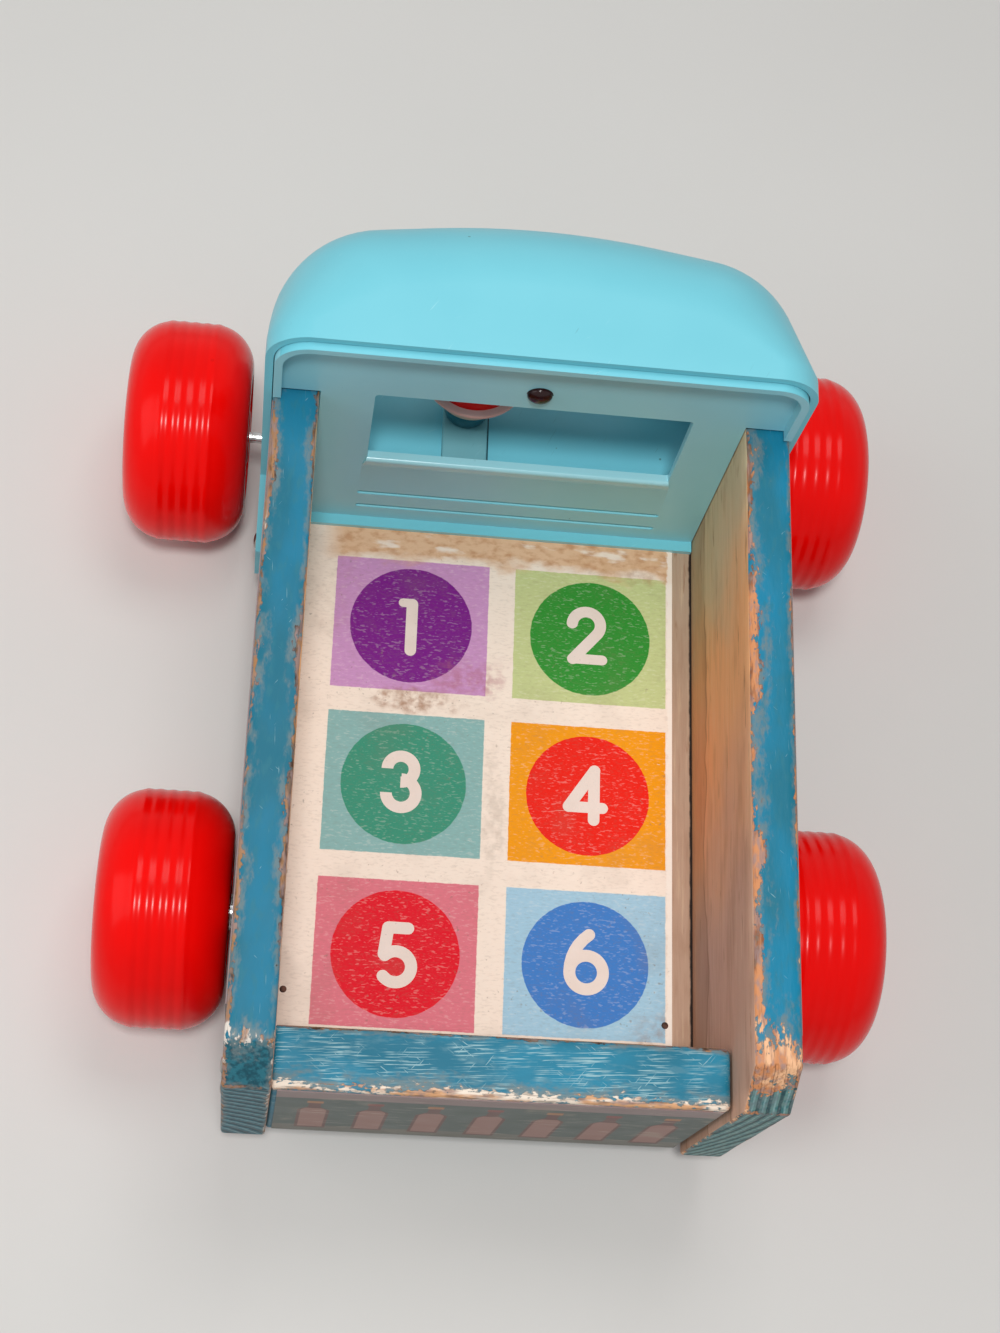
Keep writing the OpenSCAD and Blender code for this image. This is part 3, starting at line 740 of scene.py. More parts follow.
@dataclass(frozen=True)
class GlossPaint(Finish):
    """Thick gloss paint, on turned wood with fine lines round it."""

    gleam: float = 0.13
    relief_depth: float = 0.006 * MM
    base: str = "FF0502"
    shade: str = "E60301"
    lines_along: Axis | None = Axis.X
    line_pitch: float = 0.9 * MM

    def colour(self, graph: Graph) -> Field:
        """Faint clouds, and darker turning lines."""
        mixed = graph.mix(graph.noise(20 * MM, 2), self.base, self.shade)
        if self.lines_along:
            mixed = graph.mix(self.lines(graph).ramp(0.62, 0.85) * 0.3, mixed, self.shade)
        return graph.mix(graph.specks(17 * MM, 0.04) * 0.7, mixed, self.shade)

    def lines(self, graph: Graph) -> Field:
        """Uneven lines across one axis."""
        stretch = [1.0 if axis is self.lines_along else 0.01 for axis in Axis]
        return graph.noise(self.line_pitch, 2, stretch)

    def relief(self, graph: Graph) -> Field:
        """Turning lines under the paint."""
        return self.lines(graph) if self.lines_along else graph.noise(6 * MM, 2)


@dataclass(frozen=True)
class Metal(Finish):
    """Drawn or pressed metal with fine lines and a little tarnish."""

    metallic: float = 1.0
    base: str = "C9CACB"
    tarnish: str = "8C8883"

    def colour(self, graph: Graph) -> Field:
        """Clouds of tarnish."""
        return graph.mix(graph.noise(3 * MM, 4).ramp(0.45, 0.7), self.base, self.tarnish)


@dataclass(frozen=True)
class PlainMatter(Finish):
    """Rubber, ink or another plain matter with two near tones."""

    base: str = "2A2A2C"
    shade: str = "1B1B1D"
    dust: str = "8A8782"

    def colour(self, graph: Graph) -> Field:
        """Clouds of the two tones with dust specks."""
        mixed = graph.mix(graph.noise(5 * MM, 4), self.base, self.shade)
        return graph.mix(graph.noise(0.8 * MM, 2).ramp(0.66, 0.75) * 0.25, mixed, self.dust)


@dataclass(frozen=True)
class BareWood(Finish):
    """Unpainted board with its grain along Y, and tones that change along it."""

    roughness: float = 0.75
    gleam: float = 0.25
    relief_depth: float = 0.09 * MM
    tones: tuple[tuple[float, str], ...] = ((45 * MM, "CDBA96"), (0.0, "F2B27B"), (-75 * MM, "CCA28B"))
    dark: str = "8A5C3A"
    pale: str = "EBD0AC"
    # Near-black of the painted shade in the gaps where the boards meet.
    gap_shade: str = "1E130D"
    band_z: float | None = None
    # Places across X of the painted gap shade lines.
    shade_lines: tuple[float, ...] = ()

    def grain(self, graph: Graph) -> Field:
        """Long fibres."""
        return graph.noise(1.1 * MM, 4, (1.0, 0.05, 1.0), roughness=0.6)

    def colour(self, graph: Graph) -> Field:
        """Tones along the board with fibres, a dark band above the floor and painted shade of the gaps at its
        seams.
        """
        mixed = self.tones[0][1]
        place = graph.y + (graph.noise(34 * MM, 3) - 0.5) * (70 * MM)
        for (y0, _), (y1, tone) in zip(self.tones, self.tones[1:]):
            mixed = graph.mix(place.ramp(y0, y1), mixed, tone)
        mixed = graph.mix(self.grain(graph).ramp(0.5, 0.8) * 0.3, mixed, self.dark)
        mixed = graph.mix(self.grain(graph).ramp(0.46, 0.3) * 0.25, mixed, self.pale)
        cloudy = graph.noise(7 * MM, 4, (1.0, 0.3, 1.0), seed=1.3)
        mixed = graph.mix(cloudy.ramp(0.5, 0.72) * 0.25, mixed, self.dark)
        knots = graph.noise(2.2 * MM, 3, (1.0, 0.12, 1.0), seed=3.3).ramp(0.66, 0.72)
        mixed = graph.mix(knots * 0.5, mixed, self.dark)
        if self.band_z is not None:
            wavy = graph.noise(24 * MM, 3, (1.0, 0.6, 0.3), seed=4.0) - 0.5
            height = graph.z - self.band_z + wavy * (26 * MM)
            mixed = graph.mix(height.ramp(0.6 * MM, -0.6 * MM) * 0.32, mixed, self.dark)
            line = height.size().ramp(1.1 * MM, 0.2 * MM) * graph.noise(30 * MM, 2, seed=6.0).ramp(0.4, 0.55)
            mixed = graph.mix(line * 0.5, mixed, self.dark)
        # Painted shade: a near-black line along each seam, for the shadow in the gap between the base board
        # and a side board.
        for shade_line in self.shade_lines:
            edge = (graph.x - shade_line).size() + (graph.noise(3 * MM, 3) - 0.5) * (0.7 * MM)
            mixed = graph.mix(edge.ramp(1.0 * MM, 0.45 * MM), mixed, self.gap_shade)
        return mixed

    def relief(self, graph: Graph) -> Field:
        """Fibres."""
        return self.grain(graph)


@dataclass(frozen=True)
class Face:
    """A flat face of a board: a point of it and the direction that it faces."""

    point: Vector
    facing: Vector

    @classmethod
    def of(cls, extent: Extent, axis: Axis, facing: int) -> "Face":
        """The face of a board that looks up an axis for 1, and down it for -1."""
        corner = extent.high if facing > 0 else extent.low
        return cls(axis.vector * corner[axis.value], axis.vector * facing)

    def depth(self, graph: Graph) -> Field:
        """How deep under the face a point of the surface lies."""
        offset = self.point.dot(self.facing)
        total = None
        for part, place in zip(self.facing, (graph.x, graph.y, graph.z)):
            if abs(part) > 1e-6:
                share = place * part
                total = share if total is None else total + share
        return offset - total


@dataclass(frozen=True)
class WornEdge:
    """An edge between two faces, how far the paint is worn back from it, and how clean its wood is."""

    first: Face
    second: Face
    width: float
    clean: float = 0.4

    def nearness(self, graph: Graph) -> Field:
        """1 on the edge, and 0 where the wear ends."""
        return 1.0 - self.first.depth(graph).most(self.second.depth(graph)) / self.width


@dataclass(frozen=True)
class EndGrain:
    """The rings of the wood on the sawn end of a board."""

    faces: tuple[Face, ...]
    middle: Pair
    pitch: float = 2.3 * MM

    def on_end(self, graph: Graph) -> Field:
        """1 on the end, and 0 elsewhere."""
        return graph.highest([face.depth(graph).ramp(0.8 * MM, 0.3 * MM) for face in self.faces])

    def rings(self, graph: Graph) -> Field:
        """A wave across the rings, from -1 to 1."""
        across, up = graph.x - self.middle[0], graph.z - self.middle[1]
        distance = graph.math("SQRT", across * across + up * up) + (graph.noise(9 * MM, 3) - 0.5) * (1.8 * MM)
        return (distance * (2 * math.pi / self.pitch)).wave()


@dataclass(frozen=True)
class WornPaint(Finish):
    """Paint on a board, worn to the wood along its edges and scratched along its length."""

    roughness: float = 0.5
    spread: float = 0.12
    gleam: float = 0.25
    relief_depth: float = 0.14 * MM
    edges: tuple[WornEdge, ...] = ()
    end: EndGrain | None = None
    paint: str = "1A7F9E"
    deep: str = "176E88"
    dull: str = "2A7484"
    stained: str = "6E7F82"
    mauve: str = "9A8482"
    end_paint: str = "27707F"
    deep_end: str = "17505F"
    groove: str = "14363E"
    scratch: str = "A9CCD0"
    wood: str = "B97C46"
    pale_wood: str = "E9D6C2"
    grey_wood: str = "7B6657"
    dark_wood: str = "4E382B"
    along: Axis = Axis.Y
    scratched: float = 0.15
    frayed: float = 1.0
    end_l: float = 9.3 * MM

    def drawn_out(self, share: float) -> list[float]:
        """A stretch that draws a pattern out along the board."""
        return [share if axis is self.along else 1.0 for axis in Axis]

    def reach(self, graph: Graph) -> Field:
        """How strongly the surface is worn: 0 is sound paint and 1 a bare edge."""
        near = graph.highest([edge.nearness(graph) for edge in self.edges])
        broad = (graph.noise(13 * MM, 2, self.drawn_out(0.45), seed=0.5) - 0.5) * (3.4 * self.frayed)
        middle = (graph.noise(3.4 * MM, 3, self.drawn_out(0.4), seed=1.5) - 0.5) * (2.2 * self.frayed)
        fine = (graph.noise(0.8 * MM, 3, self.drawn_out(0.5)) - 0.5) * 2.2
        return near + broad + middle + fine

    def bare(self, graph: Graph) -> Field:
        """Colours of the bare wood, dirty or clean."""
        grain = graph.noise(0.7 * MM, 4, self.drawn_out(0.12))
        clean = graph.highest([edge.nearness(graph).ramp(-0.8, 0.2) * edge.clean for edge in self.edges])
        clean = clean + (graph.noise(3.2 * MM, 4, self.drawn_out(0.22), seed=5.0) - 0.5) * 2.2
        dirty = graph.mix(graph.noise(2 * MM, 4, seed=8.0).ramp(0.42, 0.6), self.grey_wood, self.dark_wood)
        wood = graph.mix(clean.ramp(0.2, 0.45), dirty, self.wood)
        veil = graph.noise(1.6 * MM, 4, self.drawn_out(0.4), seed=9.0).ramp(0.42, 0.62)
        wood = graph.mix(veil * 0.75, wood, self.mauve)
        wood = graph.mix(clean.ramp(0.75, 1.0), wood, self.pale_wood)
        return graph.mix(grain.ramp(0.52, 0.68) * 0.55, wood, self.dark_wood)

    def end_shade(self, graph: Graph) -> Field:
        """1 on the sawn end and on the slope above it."""
        return (graph.y - self.end.faces[0].point.y).ramp(self.end_l, self.end_l - 0.6 * MM)

    def colour(self, graph: Graph) -> Field:
        """Paint, stains, scratches, end grain and bare wood."""
        clouds = graph.noise(14 * MM, 5, self.drawn_out(0.4)).ramp(0.35, 0.62)
        streaks = graph.noise(1.8 * MM, 4, self.drawn_out(0.35), seed=7.0).ramp(0.5, 0.7)
        mixed = graph.mix(streaks * 0.5, graph.mix(clouds, self.paint, self.deep), self.dull)
        if self.end:
            on_end, rings = self.end.on_end(graph), self.end.rings(graph)
            mottles = graph.noise(1.4 * MM, 4, seed=2.0).ramp(0.4, 0.62)
            mixed = graph.mix(self.end_shade(graph), mixed, graph.mix(mottles, self.end_paint, self.deep_end))
            mixed = graph.mix(rings.ramp(0.3, 0.95) * on_end * 0.8, mixed, self.groove)
            mixed = graph.mix(rings.ramp(-0.8, -0.97) * on_end * 0.4, mixed, self.scratch)
        fine = graph.scratches(self.along, 0.12 * MM, 3 * MM, self.scratched, 3, 1.1)
        loose = graph.scratches(self.along, 0.15 * MM, 1.2 * MM, self.scratched * 0.35, -35, 2.7)
        other = graph.scratches(self.along, 0.15 * MM, 2 * MM, self.scratched * 0.35, 50, 4.1)
        scuffed = graph.noise(9 * MM, 4, seed=3.0).ramp(0.4, 0.6)
        mixed = graph.mix(fine.most(loose).most(other) * scuffed * 0.7, mixed, self.scratch)
        reach = self.reach(graph)
        patchy = graph.noise(2.4 * MM, 4, self.drawn_out(0.4), seed=6.0).ramp(0.38, 0.58)
        mixed = graph.mix(reach.ramp(-0.9, 0.35) * patchy * 0.85, mixed, self.stained)
        return graph.mix(reach.ramp(0.4, 0.7), mixed, self.bare(graph))

    def relief(self, graph: Graph) -> Field:
        """The paint's thickness, its brush marks and the grooves of the end grain."""
        height = self.reach(graph).ramp(0.64, 0.5) + graph.noise(0.9 * MM, 3, self.drawn_out(0.3)) * 0.5
        if not self.end:
            return height
        return height - self.end.rings(graph).ramp(0.3, 0.9) * self.end.on_end(graph) * 2.0


@dataclass(frozen=True)
class NumberCell:
    """A coloured square with a disc in it."""

    low: Vector
    high: Vector
    square: str
    disc: str

    @property
    def middle(self) -> Vector:
        """Middle of the square and of the disc."""
        return (self.low + self.high) / 2


@dataclass(frozen=True)
class Stain:
    """A brown or grey patch on the floor: its middle, how far it reaches, and its strength from 0 to 1."""

    x: float
    y: float
    reach_x: float
    reach_y: float
    strength: float
    tone: str = "9A6238"

    def share(self, graph: Graph) -> Field:
        """How strongly it colours the surface."""
        across, along = (graph.x - self.x) / self.reach_x, (graph.y - self.y) / self.reach_y
        distance = across * across + along * along + (graph.noise(9 * MM, 3, seed=self.x * 90) - 0.5) * 2.5
        blotch = graph.noise(2.2 * MM, 4, seed=self.y * 90).ramp(0.3, 0.7)
        return distance.ramp(1.0, 0.1) * blotch * self.strength


@dataclass(frozen=True)
class NumberPrint(Finish):
    """Printed paper with six cells, worn by the milk bottles that slid over it."""

    gleam: float = 0.15
    cells: tuple[NumberCell, ...] = ()
    stains: tuple[Stain, ...] = ()
    disc_r: float = 17.5 * MM
    paper: str = "FBEADA"
    crease: str = "FFF4E8"
    smudge: str = "8A7565"
    rust: str = "B4713F"
    tan: str = "E0B184"
    shadow: str = "2A1C14"
    cab_end: float = 0.0
    left_edge: float = 0.0
    right_edge: float = 0.0

    def printed(self, graph: Graph) -> Field:
        """The print as new."""
        mixed = self.paper
        wobble = (graph.noise(1.5 * MM, 2) - 0.5) * (0.35 * MM)
        for cell in self.cells:
            middle, half = cell.middle, (cell.high - cell.low) / 2
            across, along = graph.x - middle.x, graph.y - middle.y
            inside = (half.x - across.size()).least(half.y - along.size()) + wobble
            mixed = graph.mix(inside.ramp(-0.1 * MM, 0.1 * MM), mixed, cell.square)
            inside = self.disc_r - graph.math("SQRT", across * across + along * along) + wobble
            mixed = graph.mix(inside.ramp(-0.1 * MM, 0.1 * MM), mixed, cell.disc)
        return mixed

    def wear(self, graph: Graph) -> Field:
        """Short scratches across the wagon, 1 where the print is gone."""
        lines = graph.scratches(Axis.X, 0.13 * MM, 4.5 * MM, 0.0, 2, 0.4)
        short = graph.scratches(Axis.X, 0.18 * MM, 1.2 * MM, 0.03, -14, 1.9)
        return lines.most(short) * graph.noise(12 * MM, 4, seed=2.0).ramp(0.52, 0.64)

    def colour(self, graph: Graph) -> Field:
        """The print with its scratches, stains, dirt, worn end at the cab, a painted shadow along its left
        edge and a torn right edge.
        """
        weave = graph.noise(0.55 * MM, 2, (0.35, 1.0, 1.0))
        mixed = graph.mix(weave.ramp(0.5, 0.75) * 0.16, self.printed(graph), self.smudge)
        mixed = graph.mix(weave.ramp(0.45, 0.3) * 0.16, mixed, self.crease)
        mixed = graph.mix(graph.noise(16 * MM, 5).ramp(0.5, 0.74) * 0.16, mixed, self.smudge)
        mixed = graph.mix(self.wear(graph) * 0.8, mixed, self.crease)
        dirt = graph.noise(1.3 * MM, 3, seed=6.0).ramp(0.64, 0.74)
        mixed = graph.mix(dirt * graph.noise(26 * MM, 2, seed=7.0).ramp(0.45, 0.6) * 0.5, mixed, self.smudge)
        for stain in self.stains:
            mixed = graph.mix(stain.share(graph), mixed, stain.tone)
        torn = graph.noise(7 * MM, 5, (0.6, 1.0, 1.0), seed=8.0) - 0.5
        cab_end = (graph.y - self.cab_end + torn * (14 * MM)).ramp(-11.5 * MM, -7 * MM)
        cab_end = cab_end * (graph.x - self.left_edge).ramp(3 * MM, 12 * MM)
        blotch = graph.noise(1.7 * MM, 5, (0.6, 1.0, 1.0), seed=9.0)
        mixed = graph.mix(cab_end * 0.8, mixed, self.tan)
        mixed = graph.mix(cab_end * blotch.ramp(0.4, 0.78) * 0.6, mixed, self.rust)
        gaps = graph.noise(4 * MM, 4, (0.35, 1.0, 1.0), seed=11.0).ramp(0.58, 0.7)
        mixed = graph.mix(cab_end * gaps * 0.7, mixed, self.crease)
        # Painted shadow along the sheet's left edge.
        place = graph.x - self.left_edge + (graph.noise(2.2 * MM, 3) - 0.5) * (1.4 * MM)
        mixed = graph.mix(place.ramp(0.9 * MM, 0.4 * MM), mixed, self.shadow)
        place = graph.x - self.right_edge + (graph.noise(2.5 * MM, 3) - 0.5) * (2.6 * MM)
        return graph.mix(place.ramp(-1.9 * MM, -1.3 * MM) * 0.75, mixed, self.crease)

    def relief(self, graph: Graph) -> Field:
        """The paper's weave, with its scratches."""
        return graph.noise(0.55 * MM, 2, (0.35, 1.0, 1.0)) * 0.6 - self.wear(graph)


@dataclass(frozen=True)
class PicturePrint(Finish):
    """Printed paper with a plain row of milk bottles between two bands."""

    across: Axis = Axis.Y
    middle: float = 0.0
    low: float = 0.0
    high: float = 1.0
    pitch: float = 22 * MM
    ground: str = "45544F"
    deep: str = "3D4B46"
    band: str = "8A7371"
    foot: str = "615F55"
    milk: str = "966A5F"
    glass: str = "5E322B"
    caps: tuple[str, str] = ("7E2C24", "A5693A")
    line: str = "D9CDBC"
    rubbed: str = "A89C88"

    def colour(self, graph: Graph) -> Field:
        """Ground, bands and bottles, with wear."""
        place = graph.y if self.across is Axis.Y else graph.x
        tall = self.high - self.low
        mixed = graph.mix(graph.noise(18 * MM, 3), self.ground, self.deep)
        mixed = graph.mix((graph.z - self.high).ramp(-0.14 * tall - 0.2 * MM, -0.14 * tall), mixed, self.band)
        mixed = graph.mix((graph.z - self.low).ramp(0.16 * tall, 0.16 * tall - 0.2 * MM), mixed, self.foot)
        across = (place - self.middle).wrapped(self.pitch)
        up = (graph.z - self.low) / tall
        half = 0.27 * self.pitch
        body = up.ramp(0.66, 0.56) * (0.62 * half) + 0.38 * half
        edge = 0.15 * MM
        bottle = (body - across.size()).ramp(-edge, edge) * up.ramp(0.09, 0.1) * up.ramp(0.76, 0.75)
        mixed = graph.mix(bottle, mixed, self.glass)
        milk = (body * 0.8 - across.size()).ramp(-edge, edge) * up.ramp(0.12, 0.13) * up.ramp(0.62, 0.61)
        mixed = graph.mix(milk, mixed, self.milk)
        pair = (place - self.middle).wrapped(2 * self.pitch).size()
        other = pair.ramp(self.pitch / 2 - edge, self.pitch / 2)
        cap = (0.5 * half - across.size()).ramp(-edge, edge) * up.ramp(0.74, 0.75) * up.ramp(0.8, 0.79)
        mixed = graph.mix(cap, mixed, graph.mix(other, *self.caps))
        mixed = graph.mix(self.wear(graph) * 0.6, mixed, self.line)
        return graph.mix(graph.noise(16 * MM, 4, seed=3.3).ramp(0.6, 0.74) * 0.4, mixed, self.rubbed)

    def wear(self, graph: Graph) -> Field:
        """Scratches along the sheet."""
        return graph.scratches(self.across, 0.2 * MM, 5 * MM, 0.3, 0, 0.9)

    def relief(self, graph: Graph) -> Field:
        """Paper with scratches."""
        return graph.noise(0.9 * MM, 3) * 0.4 - self.wear(graph)


@dataclass(frozen=True)
class PaintedFace(Finish):
    """The driver's wooden head with two round eyes, cheeks and a smile, looking forward."""

    roughness: float = 0.35
    centre: Vector = field(default_factory=Vector)
    skin: str = "F0B98D"
    deep_skin: str = "E3A577"
    ink: str = "2B211D"
    cheek: str = "E58A72"
    lips: str = "B3382C"

    def colour(self, graph: Graph) -> Field:
        """Skin with the painted spots."""
        across, up = (graph.x - self.centre.x).size(), graph.z - self.centre.z
        front = (graph.y - self.centre.y).ramp(0.0, 1 * MM)

        def spot(x: float, z: float, radius: float) -> Field:
            """A round spot on both sides of the nose."""
            dx, dz = across - x, up - z
            return graph.math("SQRT", dx * dx + dz * dz).ramp(radius + 0.1 * MM, radius - 0.1 * MM) * front

        mixed = graph.mix(graph.noise(8 * MM, 2) * 0.3, self.skin, self.deep_skin)
        mixed = graph.mix(spot(7 * MM, -3 * MM, 2.6 * MM) * 0.6, mixed, self.cheek)
        mixed = graph.mix(spot(4.3 * MM, 0.6 * MM, 1.2 * MM), mixed, self.ink)
        ring = graph.math("SQRT", across * across + (up + 1 * MM) * (up + 1 * MM)) - 4.6 * MM
        smile = ring.size().ramp(0.45 * MM, 0.3 * MM) * up.ramp(-3.4 * MM, -3.7 * MM) * front
        return graph.mix(smile, mixed, self.lips)


@dataclass(frozen=True)
class PaleFloor(Finish):
    """Plain pale ground."""

    roughness: float = 0.8
    relief_depth: float = 0.02 * MM
    base: str = "DAD8D4"
    shade: str = "D5D3CF"

    def colour(self, graph: Graph) -> Field:
        """Two near tones of pale grey."""
        return graph.mix(graph.noise(120 * MM, 2), self.base, self.shade)


# Sub-assemblies

@dataclass(frozen=True)
class Layout:
    """Places that several sub-assemblies share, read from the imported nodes."""

    mid_x: float
    floor_z: float
    side_top: float
    roof_z: float
    hem_z: float
    foot_y: float
    rim_y: float
    front_axle: Vector
    skirt_l: float = 14.9 * MM

    @classmethod
    def read(cls) -> "Layout":
        """Reads the places."""
        sheet, cab = Extent.of("number_sheet"), Extent.of("cab_shell")
        return cls(mid_x=Extent.of("base_board").middle.x, floor_z=sheet.high.z,
                   side_top=Extent.of("left_side_board").high.z, roof_z=cab.high.z, hem_z=cab.low.z,
                   foot_y=sheet.high.y, rim_y=cab.low.y + cls.skirt_l,
                   front_axle=Extent.of("front_axle").middle)


@dataclass
class WoodenBox:
    """Side boards, tailgate and base board, with their nails and pins."""

    lay: Layout
    slope_l: float = 9.3 * MM
    slope_h: float = 12.5 * MM
    step_up: float = 20 * MM
    step_in: float = 11 * MM
    band_up: float = 17 * MM
    edge_r: float = 0.9 * MM
    gate_end_r: float = 1.6 * MM
    slice_l: float = 3 * MM
    dent: float = 0.35 * MM
    dent_grains: Pair = (5 * MM, 1.7 * MM)
    nail_r: float = 0.9 * MM
    nail_tip_l: float = 2 * MM
    nail_head_t: float = 0.9 * MM
    pin_r: float = 0.5 * MM
    pin_l: float = 8 * MM

    def build(self) -> None:
        """Builds and dresses the box."""
        for side in Side:
            self.side_board(side)
        self.tailgate()
        # Painted gap shade runs along the base board at the side boards' inner faces.
        shade_lines = (Extent.of("left_side_board").high.x, Extent.of("right_side_board").low.x)
        tones = ((40 * MM, "B69C85"), (-60 * MM, "BF9D86"))
        dress("base_board", BareWood("plain_board", tones=tones, shade_lines=shade_lines))
        steel = Metal("nail_steel", roughness=0.35, base="A9A7A2", tarnish="6E675E")
        for node in ("board_nails", "cab_nails"):
            self.nails(node, steel)
        self.pins()

    def side_board(self, side: Side) -> None:
        """Builds a side board: painted outside, bare inside."""
        lay, extent = self.lay, Extent.of(f"{side.word}_side_board")
        low, high = extent.low, extent.high
        step_y, step_z = lay.rim_y + self.step_in, lay.floor_z + self.step_up
        outline = Outline((low.y, low.z), (high.y, low.z), (high.y, step_z), (step_y, step_z),
                          (step_y, high.z), (low.y + self.slope_l, high.z), (low.y, high.z - self.slope_h))
        shape = soften(outline.prism(Axis.X, low.x, high.x), self.edge_r, 3)
        diced(shape, extent, {Axis.Y: self.slice_l, Axis.Z: 3 * self.slice_l, Axis.X: self.slice_l})
        for face in shape.faces:
            face.material_index = int(face.normal.x * side.value < -0.9)
        self.wear_corners(shape)
        bare = BareWood(f"{side.word}_board_inside", band_z=lay.floor_z + self.band_up)
        piece(f"{side.word}_board", shape, [self.board_paint(side, extent), bare], "painted_wood",
              f"{side.word}_side_board", smooth=50)

    def board_paint(self, side: Side, extent: Extent) -> WornPaint:
        """The paint of a side board, worn along its edges, with the rings of its sawn end.

        Args:
            side: Side of the wagon that the board is on.
            extent: Extent of the board.

        Returns:
            The finish.
        """
        top, foot, end = (Face.of(extent, *way) for way in ((Axis.Z, 1), (Axis.Z, -1), (Axis.Y, -1)))
        inner, outer = (Face.of(extent, Axis.X, sign * side.value) for sign in (-1, 1))
        slope = Face(Vector((0, extent.low.y + self.slope_l, extent.high.z)),
                     Vector((0, -self.slope_h, self.slope_l)).normalized())
        right = side is Side.RIGHT
        in_w, in_clean, out_w = (2.8, 0.4, 0.9) if right else (1.6, 0.25, 1.7)
        slope_w, slope_clean = (8, 0.8) if right else (3, 1.0)
        edges = (WornEdge(top, inner, in_w * MM, in_clean), WornEdge(top, outer, out_w * MM, 0.5),
                 WornEdge(top, slope, slope_w * MM, slope_clean), WornEdge(slope, inner, 1.2 * MM, 0.7),
                 WornEdge(slope, outer, 1.2 * MM, 0.6), WornEdge(end, slope, 0.6 * MM),
                 WornEdge(end, inner, 0.9 * MM, 0.9), WornEdge(end, outer, 0.9 * MM),
                 WornEdge(foot, outer, 1.4 * MM))
        if right:
            rings = EndGrain((end, slope), (inner.point.x - 200 * MM, top.point.z - 14 * MM), 2.7 * MM)
            return WornPaint("right_board_paint", edges=edges, end=rings, paint="0A7FA2", deep="166F86",
                             end_paint="6A918C", deep_end="3D7478", wood="D28C5C", pale_wood="F4BE92",
                             dark_wood="8C5230")
        rings = EndGrain((end,), (outer.point.x - 48 * MM, top.point.z - 110 * MM), 4.6 * MM)
        return WornPaint("left_board_paint", edges=edges, end=rings, paint="167796", deep="186A80",
                         end_paint="2C7282", deep_end="17505F", wood="A87A52", pale_wood="E3D9CE",
                         dark_wood="4E382B")

    def wear_corners(self, shape: Solid) -> None:
        """Dents the rounded edges of a board, and leaves its flat faces true."""
        shape.normal_update()
        coarse, fine = self.dent_grains
        for vert in shape.verts:
            if sum(abs(part) > 0.2 for part in vert.normal) > 1:
                dent = max(0.0, noise.noise(vert.co / coarse) + 0.4 * noise.noise(vert.co / fine) + 0.1)
                vert.co -= vert.normal * dent * self.dent

    def tailgate(self) -> None:
        """Builds the tailgate board, with its rounder right end."""
        extent = Extent.of("tailgate_board")
        shape, end_x = block(extent.low, extent.high), extent.high.x
        soften(shape, self.gate_end_r, 4, lambda edge: all(abs(v.co.x - end_x) < WELD for v in edge.verts))
        soften(shape, self.edge_r, 3, lambda edge: edge.calc_face_angle(0.0) > math.radians(60))
        diced(shape, extent, {Axis.X: self.slice_l, Axis.Y: self.slice_l})
        self.wear_corners(shape)
        for face in shape.faces:
            face.material_index = int(face.normal.y > 0.9)
        top, rear, front, right = (Face.of(extent, *way)
                                   for way in ((Axis.Z, 1), (Axis.Y, -1), (Axis.Y, 1), (Axis.X, 1)))
        edges = (WornEdge(top, rear, 3.4 * MM, 1.0), WornEdge(top, front, 1.1 * MM, 0.0),
                 WornEdge(top, right, 0.5 * MM, 0.0))
        paint = WornPaint("tailgate_paint", edges=edges, along=Axis.X, scratched=0.75, frayed=0.6,
                          dull="5A8C9C", paint="1F82A0", deep="1C6F88", wood="D9A478", pale_wood="F2E2D0")
        bare = BareWood("tailgate_inside", tones=((1.0, "A98562"), (0.0, "A98562")))
        piece("tailgate", shape, [paint, bare], "painted_wood", "tailgate_board", smooth=50)

    def nails(self, node: str, finish: Finish) -> None:
        """Builds the nails of a node, with domed heads on the side that faces outward."""
        made = []
        for extent in islands(node):
            side = 1 if extent.middle.x > self.lay.mid_x else -1
            seat = (extent.high.x if side > 0 else extent.low.x) - side * self.nail_head_t
            radius, length = extent.size.z / 2, extent.size.x
            shank = [(0, self.nail_head_t - length), (self.nail_r, self.nail_tip_l - length),
                     (self.nail_r, 0), (radius, 0)]
            head = round_end(radius, self.nail_head_t * 0.85, 0.12 * MM)
            made.append(turned_out(shank + head, seat, extent, side, 32))
        piece(f"{node}_domed", together(*made), [finish], "nail_steel", node)

    def pins(self) -> None:
        """Builds the rusty pins at the rear corners of the numbered sheet."""
        made = []
        for extent in islands("floor_pins"):
            radius = extent.size.x / 2
            shank = [(0, -self.pin_l), (self.pin_r, -self.pin_l), (self.pin_r, -0.4 * MM),
                     (radius, -0.2 * MM)]
            made.append(lathe(shank + round_end(radius, 0.25 * MM, 0.0), extent.top, Axis.Z, 24))
        rusty = Metal("pin_rust", roughness=0.6, gleam=0.3, metallic=0.3, base="6B4638", tarnish="3A2820")
        piece("sheet_pins", together(*made), [rusty], "nail_steel", "floor_pins")


